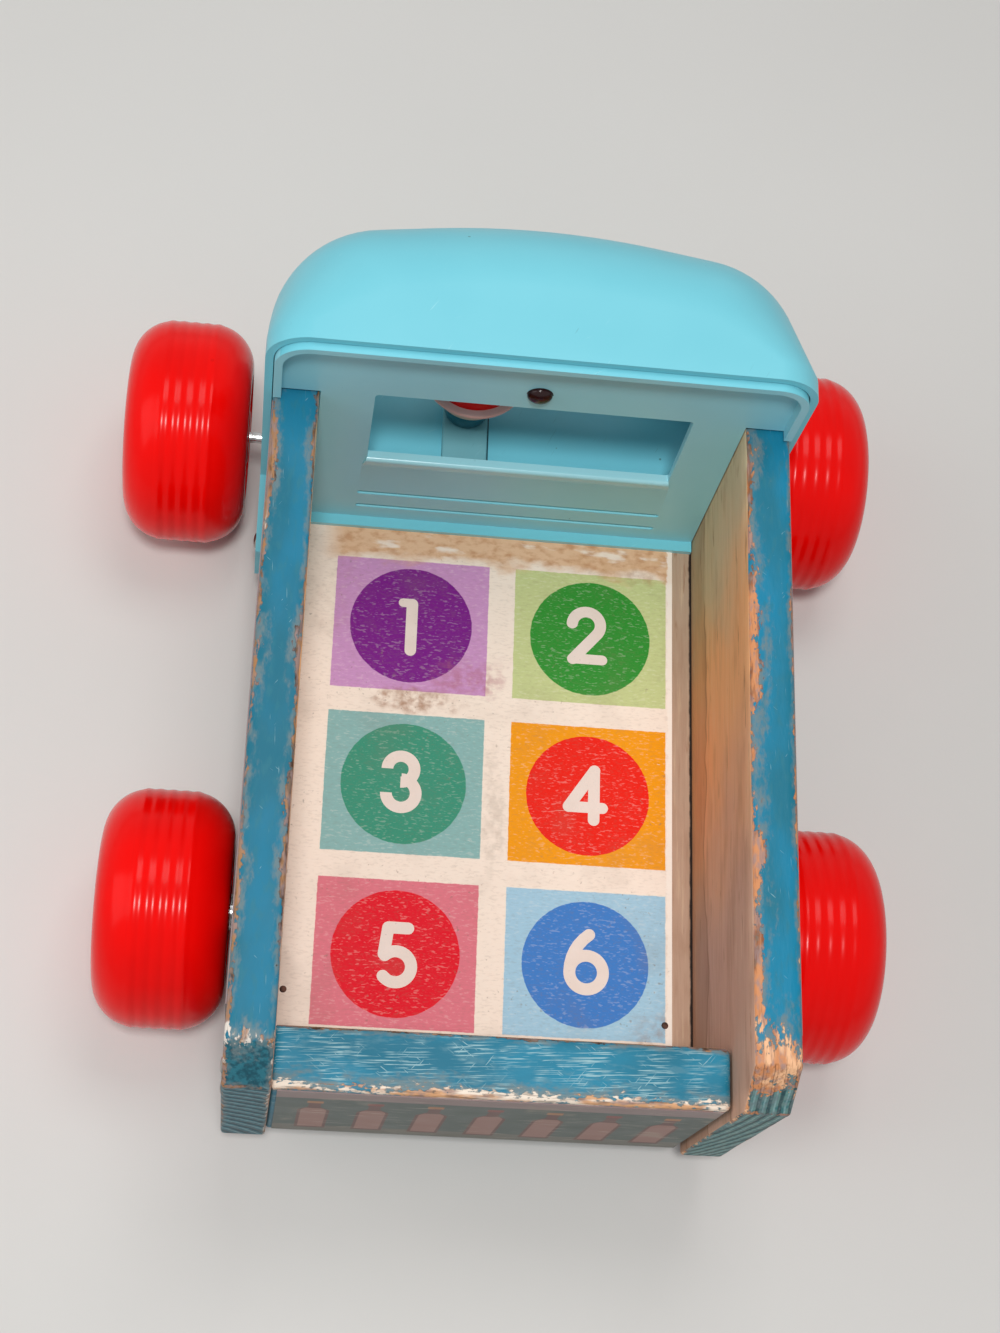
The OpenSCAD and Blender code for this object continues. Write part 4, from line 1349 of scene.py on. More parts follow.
class Nib:
    """A broad pen that draws one stroke of a numeral as a flat ribbon, with round ends if asked for."""

    STEP = 9.0

    def __init__(self, place: Vector, heading: float, width: float, round_start: bool = True) -> None:
        """Sets the nib down, square to its heading in degrees."""
        self.shape = bmesh.new()
        self.heading = math.radians(heading)
        side = self.left() * width / 2
        self.tip = [self.shape.verts.new(place + side * part) for part in (1, 0, -1)]
        if round_start:
            self.cap(1)

    def left(self) -> Vector:
        """The direction to the left of the heading."""
        return Vector((-math.sin(self.heading), math.cos(self.heading), 0))

    def edges(self) -> list[bmesh.types.BMEdge]:
        """The two edges of the nib."""
        known = self.shape.edges
        return [known.get(pair) or known.new(pair) for pair in zip(self.tip, self.tip[1:])]

    def cap(self, sign: int) -> "Nib":
        """Closes an end with half a disc: behind the nib for 1, and in front of it for -1."""
        edge = self.edges()[0]
        bmesh.ops.spin(self.shape, geom=[*edge.verts, edge], cent=self.tip[1].co, axis=(0, 0, 1),
                       dvec=(0, 0, 0), angle=sign * math.pi, steps=10, use_duplicate=False)
        return self

    def run(self, length: float) -> "Nib":
        """Draws straight on."""
        drawn = bmesh.ops.extrude_edge_only(self.shape, edges=self.edges())
        ahead = Vector((math.cos(self.heading), math.sin(self.heading), 0)) * length
        self.move_tip(drawn["geom"])
        bmesh.ops.translate(self.shape, vec=ahead, verts=self.tip)
        return self

    def turn(self, radius: float, degrees: float) -> "Nib":
        """Draws along an arc, to the left for a positive angle."""
        sign = 1 if degrees > 0 else -1
        drawn = bmesh.ops.spin(self.shape, geom=self.tip + self.edges(), axis=(0, 0, 1), dvec=(0, 0, 0),
                               cent=self.tip[1].co + self.left() * sign * radius, angle=math.radians(degrees),
                               use_duplicate=False, steps=max(2, round(abs(degrees) / self.STEP)))
        self.heading += math.radians(degrees)
        self.move_tip(drawn["geom_last"])
        return self

    def move_tip(self, drawn: Iterable[MeshPart]) -> None:
        """Takes the newly drawn points as the nib, in the order that goes from its left to its right."""
        left = self.left()
        self.tip = sorted(points_of(drawn), key=lambda vert: -vert.co.dot(left))

    def solid(self, low: float, high: float) -> Solid:
        """Lifts the ribbon to a thin solid between two heights."""
        shape = self.shape
        bmesh.ops.remove_doubles(shape, verts=shape.verts, dist=0.02 * MM)
        for vert in shape.verts:
            vert.co.z = low
        drawn = bmesh.ops.extrude_face_region(shape, geom=list(shape.faces))
        bmesh.ops.translate(shape, vec=(0, 0, high - low), verts=points_of(drawn["geom"]))
        bmesh.ops.recalc_face_normals(shape, faces=shape.faces)
        return shape


@dataclass
class PrintedSheets:
    """The numbered sheet on the floor, with its numerals, and the plain picture sheets outside."""

    lay: Layout
    column_edges: tuple[Pair, ...] = ((-47.33 * MM, -3.12 * MM), (4.52 * MM, 49 * MM))
    row_edges: tuple[Pair, ...] = ((2.27 * MM, 42.35 * MM), (-45.6 * MM, -4.88 * MM),
                                                  (-93.85 * MM, -53.12 * MM))
    colours: tuple[tuple[str, str], ...] = (("CF97C8", "7C1488"), ("C9D293", "2F9230"), ("8DB9B6", "3A9478"),
                                            ("F79E00", "F01A02"), ("E27A88", "E60222"), ("A6CDE2", "3F7FCB"))
    stains: tuple[Stain, ...] = (
        Stain(-20 * MM, -1 * MM, 15 * MM, 5 * MM, 0.75),
        Stain(-7 * MM, 9 * MM, 12 * MM, 9 * MM, 0.6, "B06474"),
        Stain(-46 * MM, 30 * MM, 9 * MM, 16 * MM, 0.12),
        Stain(2 * MM, -30 * MM, 4 * MM, 22 * MM, 0.3, "9A8A78"),
        Stain(52 * MM, -95 * MM, 12 * MM, 14 * MM, 0.4),
        Stain(38 * MM, 48 * MM, 20 * MM, 8 * MM, 0.45))
    gate_pitch: float = 15 * MM
    stroke: float = 3.3 * MM
    ink_t: float = 0.03 * MM
    ink_sunk: float = 0.1 * MM

    def build(self) -> None:
        """Dresses the sheets and draws the numerals."""
        cells, sheet = self.cells(), Extent.of("number_sheet")
        numbers = NumberPrint("number_print", roughness=0.55, cells=cells, stains=self.stains,
                              cab_end=sheet.high.y, left_edge=sheet.low.x, right_edge=sheet.high.x)
        dress("number_sheet", numbers)
        ink = PlainMatter("numeral_white", roughness=0.5, gleam=0.3, base="F3E3DA", shade="E7D5C8")
        for number, (cell, strokes) in enumerate(zip(cells, self.numerals()), start=1):
            solids = []
            for nib in strokes:
                bmesh.ops.translate(nib.shape, vec=cell.middle, verts=nib.shape.verts)
                solids.append(nib.solid(sheet.high.z - self.ink_sunk, sheet.high.z + self.ink_t))
            piece(f"numeral_{number}", joined(solids[0], Join.ADD, *solids[1:]), [ink], "number_paper")
        for side in Side:
            node = f"{side.word}_side_sheet"
            extent = Extent.of(node)
            dress(node, PicturePrint(node, roughness=0.45, middle=extent.middle.y, low=extent.low.z,
                                     high=extent.high.z))
        extent = Extent.of("tailgate_sheet")
        dress("tailgate_sheet", PicturePrint("tailgate_picture", roughness=0.45, across=Axis.X,
                                             pitch=self.gate_pitch, middle=extent.middle.x, low=extent.low.z,
                                             high=extent.high.z))

    def cells(self) -> tuple[NumberCell, ...]:
        """The six squares with their discs, row by row from the cab."""
        made, mid = [], self.lay.mid_x
        for index, (square, disc) in enumerate(self.colours):
            (x0, x1), (y0, y1) = self.column_edges[index % 2], self.row_edges[index // 2]
            made.append(NumberCell(Vector((mid + x0, y0, 0)), Vector((mid + x1, y1, 0)), square, disc))
        return tuple(made)

    def numerals(self) -> list[list[Nib]]:
        """The strokes of the numerals 1 to 6, drawn round their discs' middle."""

        def nib(x: float, y: float, heading: float, round_start: bool = True, share: float = 1.0) -> Nib:
            """A nib at a place in millimetres, with a share of the stroke's width."""
            return Nib(Vector((x * MM, y * MM, 0)), heading, self.stroke * share, round_start)

        one = [nib(0.1, -7.75, 90).run(14.3 * MM).cap(-1), nib(-2.55, 6.8, 0, share=0.8).run(2.6 * MM)]
        two = [nib(-5.28, 4.44, 85).turn(4.15 * MM, -216).run(10.6 * MM).cap(-1),
               nib(-4.7, -6.5, 0, share=0.92).run(8.3 * MM).cap(-1)]
        three = [nib(-4.67, 4.1, 90, False).turn(3.8 * MM, -270),
                 nib(-0.6, 1.25, 0, False).turn(4.15 * MM, -270)]
        four = [nib(1.78, -7.1, 90).run(14.45 * MM).cap(-1),
                nib(-5.4, -3.5, 0, share=0.97).run(9.6 * MM).cap(-1),
                nib(-5.4, -3.5, 56.3).run(13.1 * MM).cap(-1)]
        five = [nib(-2.2, 7.1, 0, False).run(5.4 * MM).cap(-1), nib(-2.2, 7.1, 263).run(7.4 * MM).cap(-1),
                nib(-2.8, -0.6, 45).turn(4.25 * MM, -275.6).cap(-1)]
        six = [nib(-4.35, -2.2, 90, False).turn(4.65 * MM, -360),
               nib(-4.35, -2.2, 90).turn(12.98 * MM, -54).cap(-1)]
        return [one, two, three, four, five, six]


@dataclass
class Cab:
    """The moulded cab: its shell with the nose, the back panel, the rivet, the deck and the seat."""

    lay: Layout
    wall: float = 2.1 * MM
    half_w: float = 71.1 * MM
    roof_l: float = 46.4 * MM
    lip_l: float = 5 * MM
    bow: float = 4 * MM
    ball_r: float = 30 * MM
    rim_r: float = 12 * MM
    nose_l: float = 15.5 * MM
    nose_up: float = 32 * MM
    nose_r: float = 28 * MM
    nose_edge_r: float = 12 * MM
    skirt_up: float = 20 * MM
    tab: Triple = (7 * MM, 8 * MM, 2 * MM)
    screen: Triple = (92 * MM, 37 * MM, 78 * MM)
    screen_r: float = 8 * MM
    door: Triple = (24 * MM, 34 * MM, 74 * MM)
    door_r: float = 6 * MM
    door_in: float = 12.5 * MM
    axle_slot_r: float = 2.6 * MM
    cord_hole_r: float = 3.5 * MM
    edge_r: float = 0.4 * MM
    lamp_r: float = 8 * MM
    lamp_proud: float = 2.5 * MM
    lamp_span: float = 62 * MM
    lamp_up: float = 12 * MM
    grille: tuple[int, float, float, float] = (4, 5 * MM, 36 * MM, 0.9 * MM)
    rim_set: float = 1.7 * MM
    lean: float = 3.6 * MM
    lip_proud: float = 2.1 * MM
    lip_in: float = 4 * MM
    lip_gap: float = 0.3 * MM
    side_gap: float = 0.3 * MM
    foot_t: float = 1.5 * MM
    foot_sunk: float = 0.3 * MM
    window: Triple = (84.4 * MM, 37.4 * MM, 70.9 * MM)
    window_r: float = 1.2 * MM
    window_sunk: float = 0.5 * MM
    ledge_h: float = 5 * MM
    ledge_proud: float = 1 * MM
    ledge_r: float = 1.1 * MM
    ledge_flare: float = 1.1 * MM
    grooves: Pair = (8.4 * MM, 16.3 * MM)
    groove_l: float = 87.2 * MM
    groove_r: float = 0.9 * MM
    notch_gap: float = 1.2 * MM
    panel_edge_r: float = 0.35 * MM
    rivet_up: float = 78 * MM
    rivet_r: float = 1.5 * MM
    rivet_tail_r: float = 3 * MM
    rivet_tail_t: float = 1.2 * MM
    bush_r: float = 6 * MM
    bush_l: float = 6 * MM
    bore_r: float = 3.05 * MM
    bore_l: Pair = (10 * MM, 12 * MM)
    lug: Triple = (4.5 * MM, 4 * MM, 2.2 * MM)
    seat_hole_r: float = 3.3 * MM
    screw_r: float = 1.2 * MM
    screw_head: Pair = (-1.4 * MM, -0.7 * MM)
    screw_slot: Pair = (0.35 * MM, 0.8 * MM)

    @property
    def screen_y(self) -> float:
        """Where the windscreen's corners are."""
        return self.lay.rim_y + self.roof_l

    @property
    def nose_y(self) -> float:
        """Front of the nose."""
        return self.screen_y + self.nose_l

    @property
    def panel_y(self) -> float:
        """Rear face of the back panel at the floor."""
        return self.lay.rim_y - self.rim_set

    def panel_at(self, z: float) -> float:
        """Rear face of the back panel at a height."""
        return self.panel_y + self.lean * (z - self.lay.floor_z) / (self.lay.roof_z - self.lay.floor_z)

    def build(self) -> None:
        """Builds and dresses the cab."""
        plastic = MouldedPlastic("cab_plastic", roughness=0.38)
        self.shell(plastic)
        self.lamps_and_grille(plastic)
        # Painted light: the back panel is one moulding, yet its faces that look up take the cab plastic and
        # its other faces this paler copy, a tone set for the light they show.
        panel = MouldedPlastic("panel_plastic_painted_light", roughness=0.34, base="9ADAE6", shade="8ECFDB")
        self.back_panel(panel, plastic)
        self.rivet()
        self.deck()
        self.seat()
        self.screws()

    def hood(self, inset: float) -> Solid:
        """The roofed part of the cab as a solid, set in by a distance from its outside."""
        lay, mid = self.lay, self.lay.mid_x
        half, radius = self.half_w - inset, self.ball_r - inset
        out_by = OVER * bool(inset)
        start, front = lay.rim_y + self.lip_l, self.screen_y - inset
        low, top = lay.hem_z - out_by, lay.roof_z - inset
        shape = block(Vector((mid - half, lay.rim_y - out_by, low)), Vector((mid + half, front, top)))

        def on_rounding(edge: bmesh.types.BMEdge) -> bool:
            """True for the edges between the sides, the front and the roof."""
            point = (edge.verts[0].co + edge.verts[1].co) / 2
            gaps = (abs(point.x - mid) - half, point.y - front, point.z - top)
            return sum(abs(gap_shade) < WELD for gap_shade in gaps) > 1

        soften(shape, radius, 16, on_rounding)
        sliced(shape, Axis.Y, [start])
        flat = self.half_w - self.ball_r
        sliced(shape, Axis.X, [mid + flat * part / 10 for part in range(-10, 11)])
        for vert in shape.verts:
            out, up = abs(vert.co.x - mid) - flat, vert.co.z - (lay.roof_z - self.ball_r)
            part = (vert.co.x - mid) / flat
            if vert.co.y < start + WELD and out > -WELD and up > -WELD:
                angle, side = math.atan2(max(up, 0), max(out, 0)), math.copysign(1, vert.co.x - mid)
                vert.co.x = mid + side * (self.half_w - self.rim_r + (self.rim_r - inset) * math.cos(angle))
                vert.co.z = lay.roof_z - self.rim_r + (self.rim_r - inset) * math.sin(angle)
            elif vert.co.y > self.screen_y - self.ball_r - WELD and abs(part) < 1:
                vert.co.y += self.bow * (1 - part * part)
        return wrapped(shape)

    def nose(self, inset: float) -> Solid:
        """The low nose as a solid, set in by a distance from its outside."""
        lay, mid = self.lay, self.lay.mid_x
        half, front, top = self.half_w - inset, self.nose_y - inset, lay.floor_z + self.nose_up - inset
        out_by = OVER * bool(inset)
        back, low = lay.rim_y - out_by + 2 * OVER, lay.hem_z - out_by
        shape = block(Vector((mid - half, back, low)), Vector((mid + half, front, top)))
        soften(shape, self.nose_r - inset, 14,
               lambda edge: all(vert.co.y > front - WELD for vert in edge.verts)
               and abs(edge.verts[0].co.x - edge.verts[1].co.x) < WELD)
        soften(shape, self.nose_edge_r - inset, 8,
               lambda edge: all(vert.co.z > top - WELD for vert in edge.verts)
               and any(vert.co.y > back + WELD for vert in edge.verts))
        bmesh.ops.recalc_face_normals(shape, faces=shape.faces)
        return shape

    def shell(self, plastic: Finish) -> None:
        """Builds the shell: hood and nose, hollow, with its windows, skirts, axle slots and cord hole."""
        lay, mid = self.lay, self.lay.mid_x
        shape = joined(self.hood(0.0), Join.ADD, self.nose(0.0))
        shape = joined(shape, Join.CUT, self.hood(self.wall), self.nose(self.wall))
        skirt_z, skirt_y = lay.floor_z + self.skirt_up, lay.rim_y - lay.skirt_l
        skirt = Outline((lay.rim_y + OVER, lay.hem_z), (lay.rim_y + OVER, skirt_z), (lay.rim_y, skirt_z),
                        (skirt_y, lay.floor_z), (skirt_y, lay.hem_z))
        solids = []
        for side in Side:
            ends = sorted(mid + side.value * out for out in (self.half_w - self.wall, self.half_w))
            solids.append(skirt.prism(Axis.X, *ends))
        tab_w, tab_down, tab_t = self.tab
        tab_y = lay.rim_y + self.lip_in + self.lip_gap
        solids.append(block(Vector((mid - tab_w, tab_y, lay.floor_z + self.rivet_up - tab_down)),
                            Vector((mid + tab_w, tab_y + tab_t, lay.roof_z - self.wall / 2))))
        shape = joined(shape, Join.ADD, *solids)
        width, low, high = self.screen
        screen = Outline.rectangle((mid - width / 2, lay.floor_z + low),
                                   (mid + width / 2, lay.floor_z + high), self.screen_r)
        length, low, high = self.door
        door_y = lay.rim_y + self.door_in
        door = Outline.rectangle((door_y, lay.floor_z + low), (door_y + length, lay.floor_z + high),
                                 self.door_r)
        axle, slot, below = lay.front_axle, self.axle_slot_r, lay.hem_z - OVER
        notch = Outline((axle.y + slot, below)).arc((axle.y, axle.z), slot, 0, 180, 12)
        notch.to((axle.y - slot, below))
        eyelet = Extent.of("cord_eyelet").middle
        cord_hole = Outline().arc((eyelet.x, eyelet.z), self.cord_hole_r, 0, 345, 23)
        wide, ahead = self.half_w + 2 * OVER, self.nose_y + OVER
        shape = joined(shape, Join.CUT, screen.prism(Axis.Y, self.screen_y - self.ball_r, ahead),
                       *[each.prism(Axis.X, mid - wide, mid + wide) for each in (door, notch)],
                       cord_hole.prism(Axis.Y, self.nose_y - 3 * OVER - self.wall, ahead))
        made = piece("cab_moulding", mark_edges(shape), [plastic], "cab_plastic", "cab_shell", smooth=30)
        round_edges(made, self.edge_r)

    def lamps_and_grille(self, plastic: Finish) -> None:
        """Builds the moulded head lamps with their rings, and the grille bars."""
        lay, mid, r = self.lay, self.lay.mid_x, self.lamp_r
        ring = [(0, -0.5 * MM), (r, -0.5 * MM), (r, 0.7 * MM), (r - 0.4 * MM, 1.2 * MM),
                (r - 1.0 * MM, 1.2 * MM), (r - 1.4 * MM, 0.6 * MM)]
        profile = ring + round_end(r - 1.7 * MM, self.lamp_proud - 0.6 * MM, 0.6 * MM, 8)
        places = [Vector((mid + side.value * self.lamp_span / 2, self.nose_y, lay.floor_z + self.lamp_up))
                  for side in Side]
        lamps = [lathe(profile, place, Axis.Y, 64) for place in places]
        piece("head_lamps", together(*lamps), [plastic], "cab_plastic", smooth=40)
        count, pitch, width, radius = self.grille
        heights = [lay.floor_z + self.lamp_up + (row - (count - 1) / 2) * pitch for row in range(count)]
        bars = [round_bar(radius, width, Vector((mid, self.nose_y, z)), Axis.X) for z in heights]
        piece("grille_bars", together(*bars), [plastic], "cab_plastic", smooth=60)

    def lip_outline(self, inset: float) -> Outline:
        """Arch of the back panel's lip, from its right end over the top to its left end."""
        lay, mid = self.lay, self.lay.mid_x
        out, top, radius = (size - self.wall - self.lip_gap - inset
                            for size in (self.half_w, lay.roof_z, self.rim_r))
        notch = lay.side_top + self.notch_gap
        return Outline((mid + out, notch)).arc((mid + out - radius, top - radius), radius, 0, 90, 12) \
            .arc((mid - out + radius, top - radius), radius, 90, 180, 12).to((mid - out, notch))

    def back_panel(self, panel: Finish, plastic: Finish) -> None:
        """Builds the back panel: leaning plate, lip, window with its sill, grooves and foot.

        Args:
            panel: Finish of the panel's faces that don't look up: a paler copy of the cab plastic, painted
                light.
            plastic: Finish of its faces that look up, as on the cab.
        """
        lay, mid = self.lay, self.lay.mid_x
        inner = Extent.of("right_side_board").low.x - mid - self.side_gap
        notch = lay.side_top + self.notch_gap
        arch = self.lip_outline(0.0)
        plate = Outline((mid - inner, lay.floor_z), (mid + inner, lay.floor_z), (mid + inner, notch),
                        *arch.points, (mid - inner, notch)).prism(Axis.Y, 0, self.wall)
        slant = self.lean / (lay.roof_z - lay.floor_z)
        shear = Matrix(((1, 0, 0, 0), (0, 1, slant, self.panel_y - slant * lay.floor_z), (0, 0, 1, 0),
                        (0, 0, 0, 1)))
        bmesh.ops.transform(plate, matrix=shear, verts=plate.verts)
        lip = Outline(*arch.points, *reversed(self.lip_outline(self.wall).points)) \
            .prism(Axis.Y, lay.rim_y - self.lip_proud, lay.rim_y + self.lip_in)
        foot = block(Vector((mid - inner, lay.foot_y, lay.floor_z - self.foot_sunk)),
                     Vector((mid + inner, self.panel_y + self.wall / 2, lay.floor_z + self.foot_t)))
        width, low, high = self.window
        sill_z = lay.floor_z + low
        opening = Outline.rectangle((mid - width / 2, sill_z - self.window_sunk),
                                    (mid + width / 2, lay.floor_z + high), self.window_r)
        shape = joined(plate, Join.ADD, lip, foot)
        cutter = opening.prism(Axis.Y, self.panel_y - 3 * OVER, self.panel_y + 9 * OVER)
        shape = joined(shape, Join.CUT, cutter)
        shape = joined(shape, Join.ADD, self.sill(sill_z, width))
        places = [Vector((mid, self.panel_at(z), z)) for z in (lay.floor_z + up for up in self.grooves)]
        bars = [round_bar(self.groove_r, self.groove_l, place, Axis.X) for place in places]
        shape = joined(shape, Join.CUT, *bars)
        # Painted light: each face is toned by the way it points; the sill's proud and upward faces take a
        # paler glossy tone, other upward faces the cab plastic, the rest the panel's paler copy.
        for face in shape.faces:
            middle, up = face.calc_center_median(), face.normal.z > 0.5
            at_sill = -self.ledge_h < middle.z - sill_z < 0.2 * MM
            proud = middle.y < self.panel_at(middle.z) - 0.02 * MM
            face.material_index = 2 if at_sill and (proud or up) else int(up)
        # Painted highlight: the sill's paler base colour stands for the light that its rounded ledge catches;
        # its lower roughness is a real gloss.
        shiny_painted_light = MouldedPlastic("sill_plastic_painted_light", roughness=0.22, gleam=0.6, base="A9E4EE", shade="9BD9E5",
                               marks=0.05)
        made = piece("back_panel", mark_edges(shape), [panel, plastic, shiny_painted_light], "cab_plastic",
                     "cab_back_panel", smooth=30)
        round_edges(made, self.panel_edge_r)

    def sill(self, top: float, width: float) -> Solid:
        """The rounded ledge below the window, wider at its foot."""
        face, foot, mid = self.panel_at(top), top - self.ledge_h, self.lay.mid_x
        front, nose = face + self.wall * 0.9, face - self.ledge_proud
        outline = Outline((front, top), (front, foot), (self.panel_at(foot) + 0.05 * MM, foot),
                          (nose, top - self.ledge_r - 0.2 * MM))
        outline.arc((nose + self.ledge_r, top - self.ledge_r), self.ledge_r, 180, 90, 8)
        shape = outline.prism(Axis.X, mid - width / 2, mid + width / 2)
        for vert in shape.verts:
            drop = (top - vert.co.z) / self.ledge_h
            vert.co.x += math.copysign(self.ledge_flare * drop, vert.co.x - mid)
        return shape

    def rivet(self) -> None:
        """Builds the rivet, with a domed head behind the panel and a flat tail in front of the tab."""
        node = Extent.of("panel_rivet")
        head_r, z = node.size.x / 2, node.middle.z
        face = self.panel_at(z)
        back, front = face - node.low.y, node.high.y - face
        dome = [(r, -along) for r, along in reversed(round_end(head_r * 0.96, back, 0.0, 8))]
        tail_r, tail = self.rivet_tail_r, front - self.rivet_tail_t
        profile = [(0, -back), *dome[1:], (head_r, 0.0), (head_r * 0.97, 0.25 * MM),
                   (self.rivet_r, 0.3 * MM), (self.rivet_r, tail), (tail_r, tail),
                   (tail_r, front - 0.2 * MM), (tail_r - 0.3 * MM, front), (0, front)]
        paint = GlossPaint("rivet_paint", roughness=0.2, spread=0.05, gleam=0.3, base="2A080B",
                           shade="180406", lines_along=None)
        piece("rivet", lathe(profile, Vector((node.middle.x, face, z)), Axis.Y, 48), [paint], "rivet_paint",
              "panel_rivet")

    def deck(self) -> None:
        """Builds the cab deck as a hollow tray turned upside down, with a bush and lugs for its screws."""
        deck, wall = Extent.of("cab_deck"), self.wall
        spindle = Extent.of("driver_spindle").middle
        tray = soften(block(deck.low, deck.high), 0.8 * MM, 3)
        hollow = block(deck.low + Vector((wall, -OVER, -OVER)), deck.high - Vector((wall, wall, wall)))
        bush_z = deck.high.z - wall / 2 - self.bush_l
        bush = disc_column(self.bush_r, self.bush_l, Vector((spindle.x, spindle.y, bush_z)))
        lug_x, lug_y, lug_h = self.lug
        lugs = [slab(extent.middle, lug_x, lug_y, deck.low.z, deck.low.z + lug_h)
                for extent in islands("deck_screws")]
        bore_down, bore_l = self.bore_l
        bore = disc_column(self.bore_r, bore_l, Vector((spindle.x, spindle.y, deck.high.z - bore_down)))
        shape = joined(tray, Join.CUT, hollow)
        shape = joined(shape, Join.ADD, bush, *lugs)
        # The deck's painted shade line lies just right of the seat.
        plastic = MouldedPlastic("deck_plastic", roughness=0.34, base="7FD8EA", shade="74CBDD", marks=0.16,
                                 shade_line_x=Extent.of("driver_seat").high.x + 0.3 * MM)
        piece("deck_tray", joined(shape, Join.CUT, bore), [plastic], "deck_plastic", "cab_deck", smooth=30)

    def seat(self) -> None:
        """Builds the seat strip, with the hole for the driver's spindle."""
        seat, spindle = Extent.of("driver_seat"), Extent.of("driver_spindle").middle
        shape = soften(block(seat.low, seat.high), 0.6 * MM, 3)
        hole = disc_column(self.seat_hole_r, 6 * MM, Vector((spindle.x, spindle.y, seat.low.z - OVER)))
        grey = MouldedPlastic("seat_plastic", roughness=0.45, base="82C4CE", shade="74B1BC", marks=0.2)
        piece("seat_strip", joined(shape, Join.CUT, hole), [grey], "seat_plastic", "driver_seat", smooth=30)

    def screws(self) -> None:
        """Builds the slotted screws of the deck."""
        made, shank_r = [], self.screw_r
        (under, rim), (slot_w, slot_h) = self.screw_head, self.screw_slot
        for extent in islands("deck_screws"):
            radius, length, top = extent.size.x / 2, extent.size.z, extent.high.z
            profile = [(0, -length), (shank_r, 1.5 * MM - length), (shank_r, under), (radius, under),
                       (radius, rim)] + round_end(radius, -rim, rim)[1:]
            slot = slab(extent.middle, radius + OVER, slot_w, top - slot_h, top + OVER)
            made.append(joined(lathe(profile, extent.top, Axis.Z, 32), Join.CUT, slot))
        piece("slotted_screws", together(*made), [Metal("screw_steel", roughness=0.35)], "nail_steel",
              "deck_screws", smooth=30)


@dataclass
class Driver:
    """The driver: a turned figure with a cap, on a spindle that the friction disc turns."""

    body_foot_r: float = 6.2 * MM
    neck_r: float = 5.5 * MM
    brim_soft_r: float = 0.3 * MM
    band_h: float = 0.8 * MM

    def build(self) -> None:
        """Builds and dresses the driver."""
        body, head = Extent.of("driver_body"), Extent.of("driver_head")
        brim, crown = Extent.of("cap_brim"), Extent.of("cap_crown")

        def turned(name: str, node: str, profile: list[Pair], foot_z: float, finish: Finish,
                   steps: int, smooth: float) -> None:
            """Turns a piece on the driver's upright axis, from a height."""
            shape = lathe(profile, Vector((body.middle.x, body.middle.y, foot_z)), Axis.Z, steps)
            piece(name, shape, [finish], finish.name, node, body=Body.DRIVER, smooth=smooth)

        tall, wide = body.size.z, body.size.x / 2
        coat = [(0, 0), (self.body_foot_r - 0.3 * MM, 0), (self.body_foot_r, 0.4 * MM),
                (wide * 0.97, tall * 0.45), (wide, tall * 0.72), (wide * 0.97, tall * 0.84),
                (wide * 0.9, tall * 0.94), (self.neck_r, tall), (0, tall)]
        blue = GlossPaint("blue_paint", roughness=0.35, base="2F7A88", shade="266672", lines_along=Axis.Z)
        turned("driver_coat", "driver_body", coat, body.low.z, blue, 64, 40)
        radius = head.size.x / 2
        middle = head.low.z + radius
        top = math.degrees(math.asin((brim.low.z - middle) / radius))
        angles = [math.radians(-90 + (top + 90) * i / 20) for i in range(1, 21)]
        ball = [(0, -radius), *[(radius * math.cos(angle), radius * math.sin(angle)) for angle in angles],
                (0, brim.low.z - middle)]
        face = PaintedFace("face_paint", centre=Vector((body.middle.x, body.middle.y, middle)))
        turned("driver_face", "driver_head", ball, middle, face, 64, 40)
        r, t, soft = brim.size.x / 2, brim.size.z, self.brim_soft_r
        rim = [(0, 0), (r - soft, 0), (r, soft), (r, t - soft), (r - soft, t), (0, t)]
        pink = GlossPaint("brim_paint", roughness=0.35, base="F0C9C4", shade="E2B4AF", lines_along=None)
        turned("brim_disc", "cap_brim", rim, brim.low.z, pink, 96, 60)
        r, h = crown.size.x / 2, crown.size.z
        dome = [(0, 0), (r, 0)] + round_end(r, h - self.band_h, self.band_h, 14)
        red = GlossPaint("red_paint", roughness=0.25, base="E01010", shade="B80A0A", lines_along=None)
        turned("crown_dome", "cap_crown", dome, crown.low.z, red, 96, 60)
        dress("driver_spindle", BareWood("spindle_wood", tones=((1.0, "C9A273"), (0.0, "C9A273"))))
        dress("friction_disc", PlainMatter("disc_rubber", roughness=0.75))


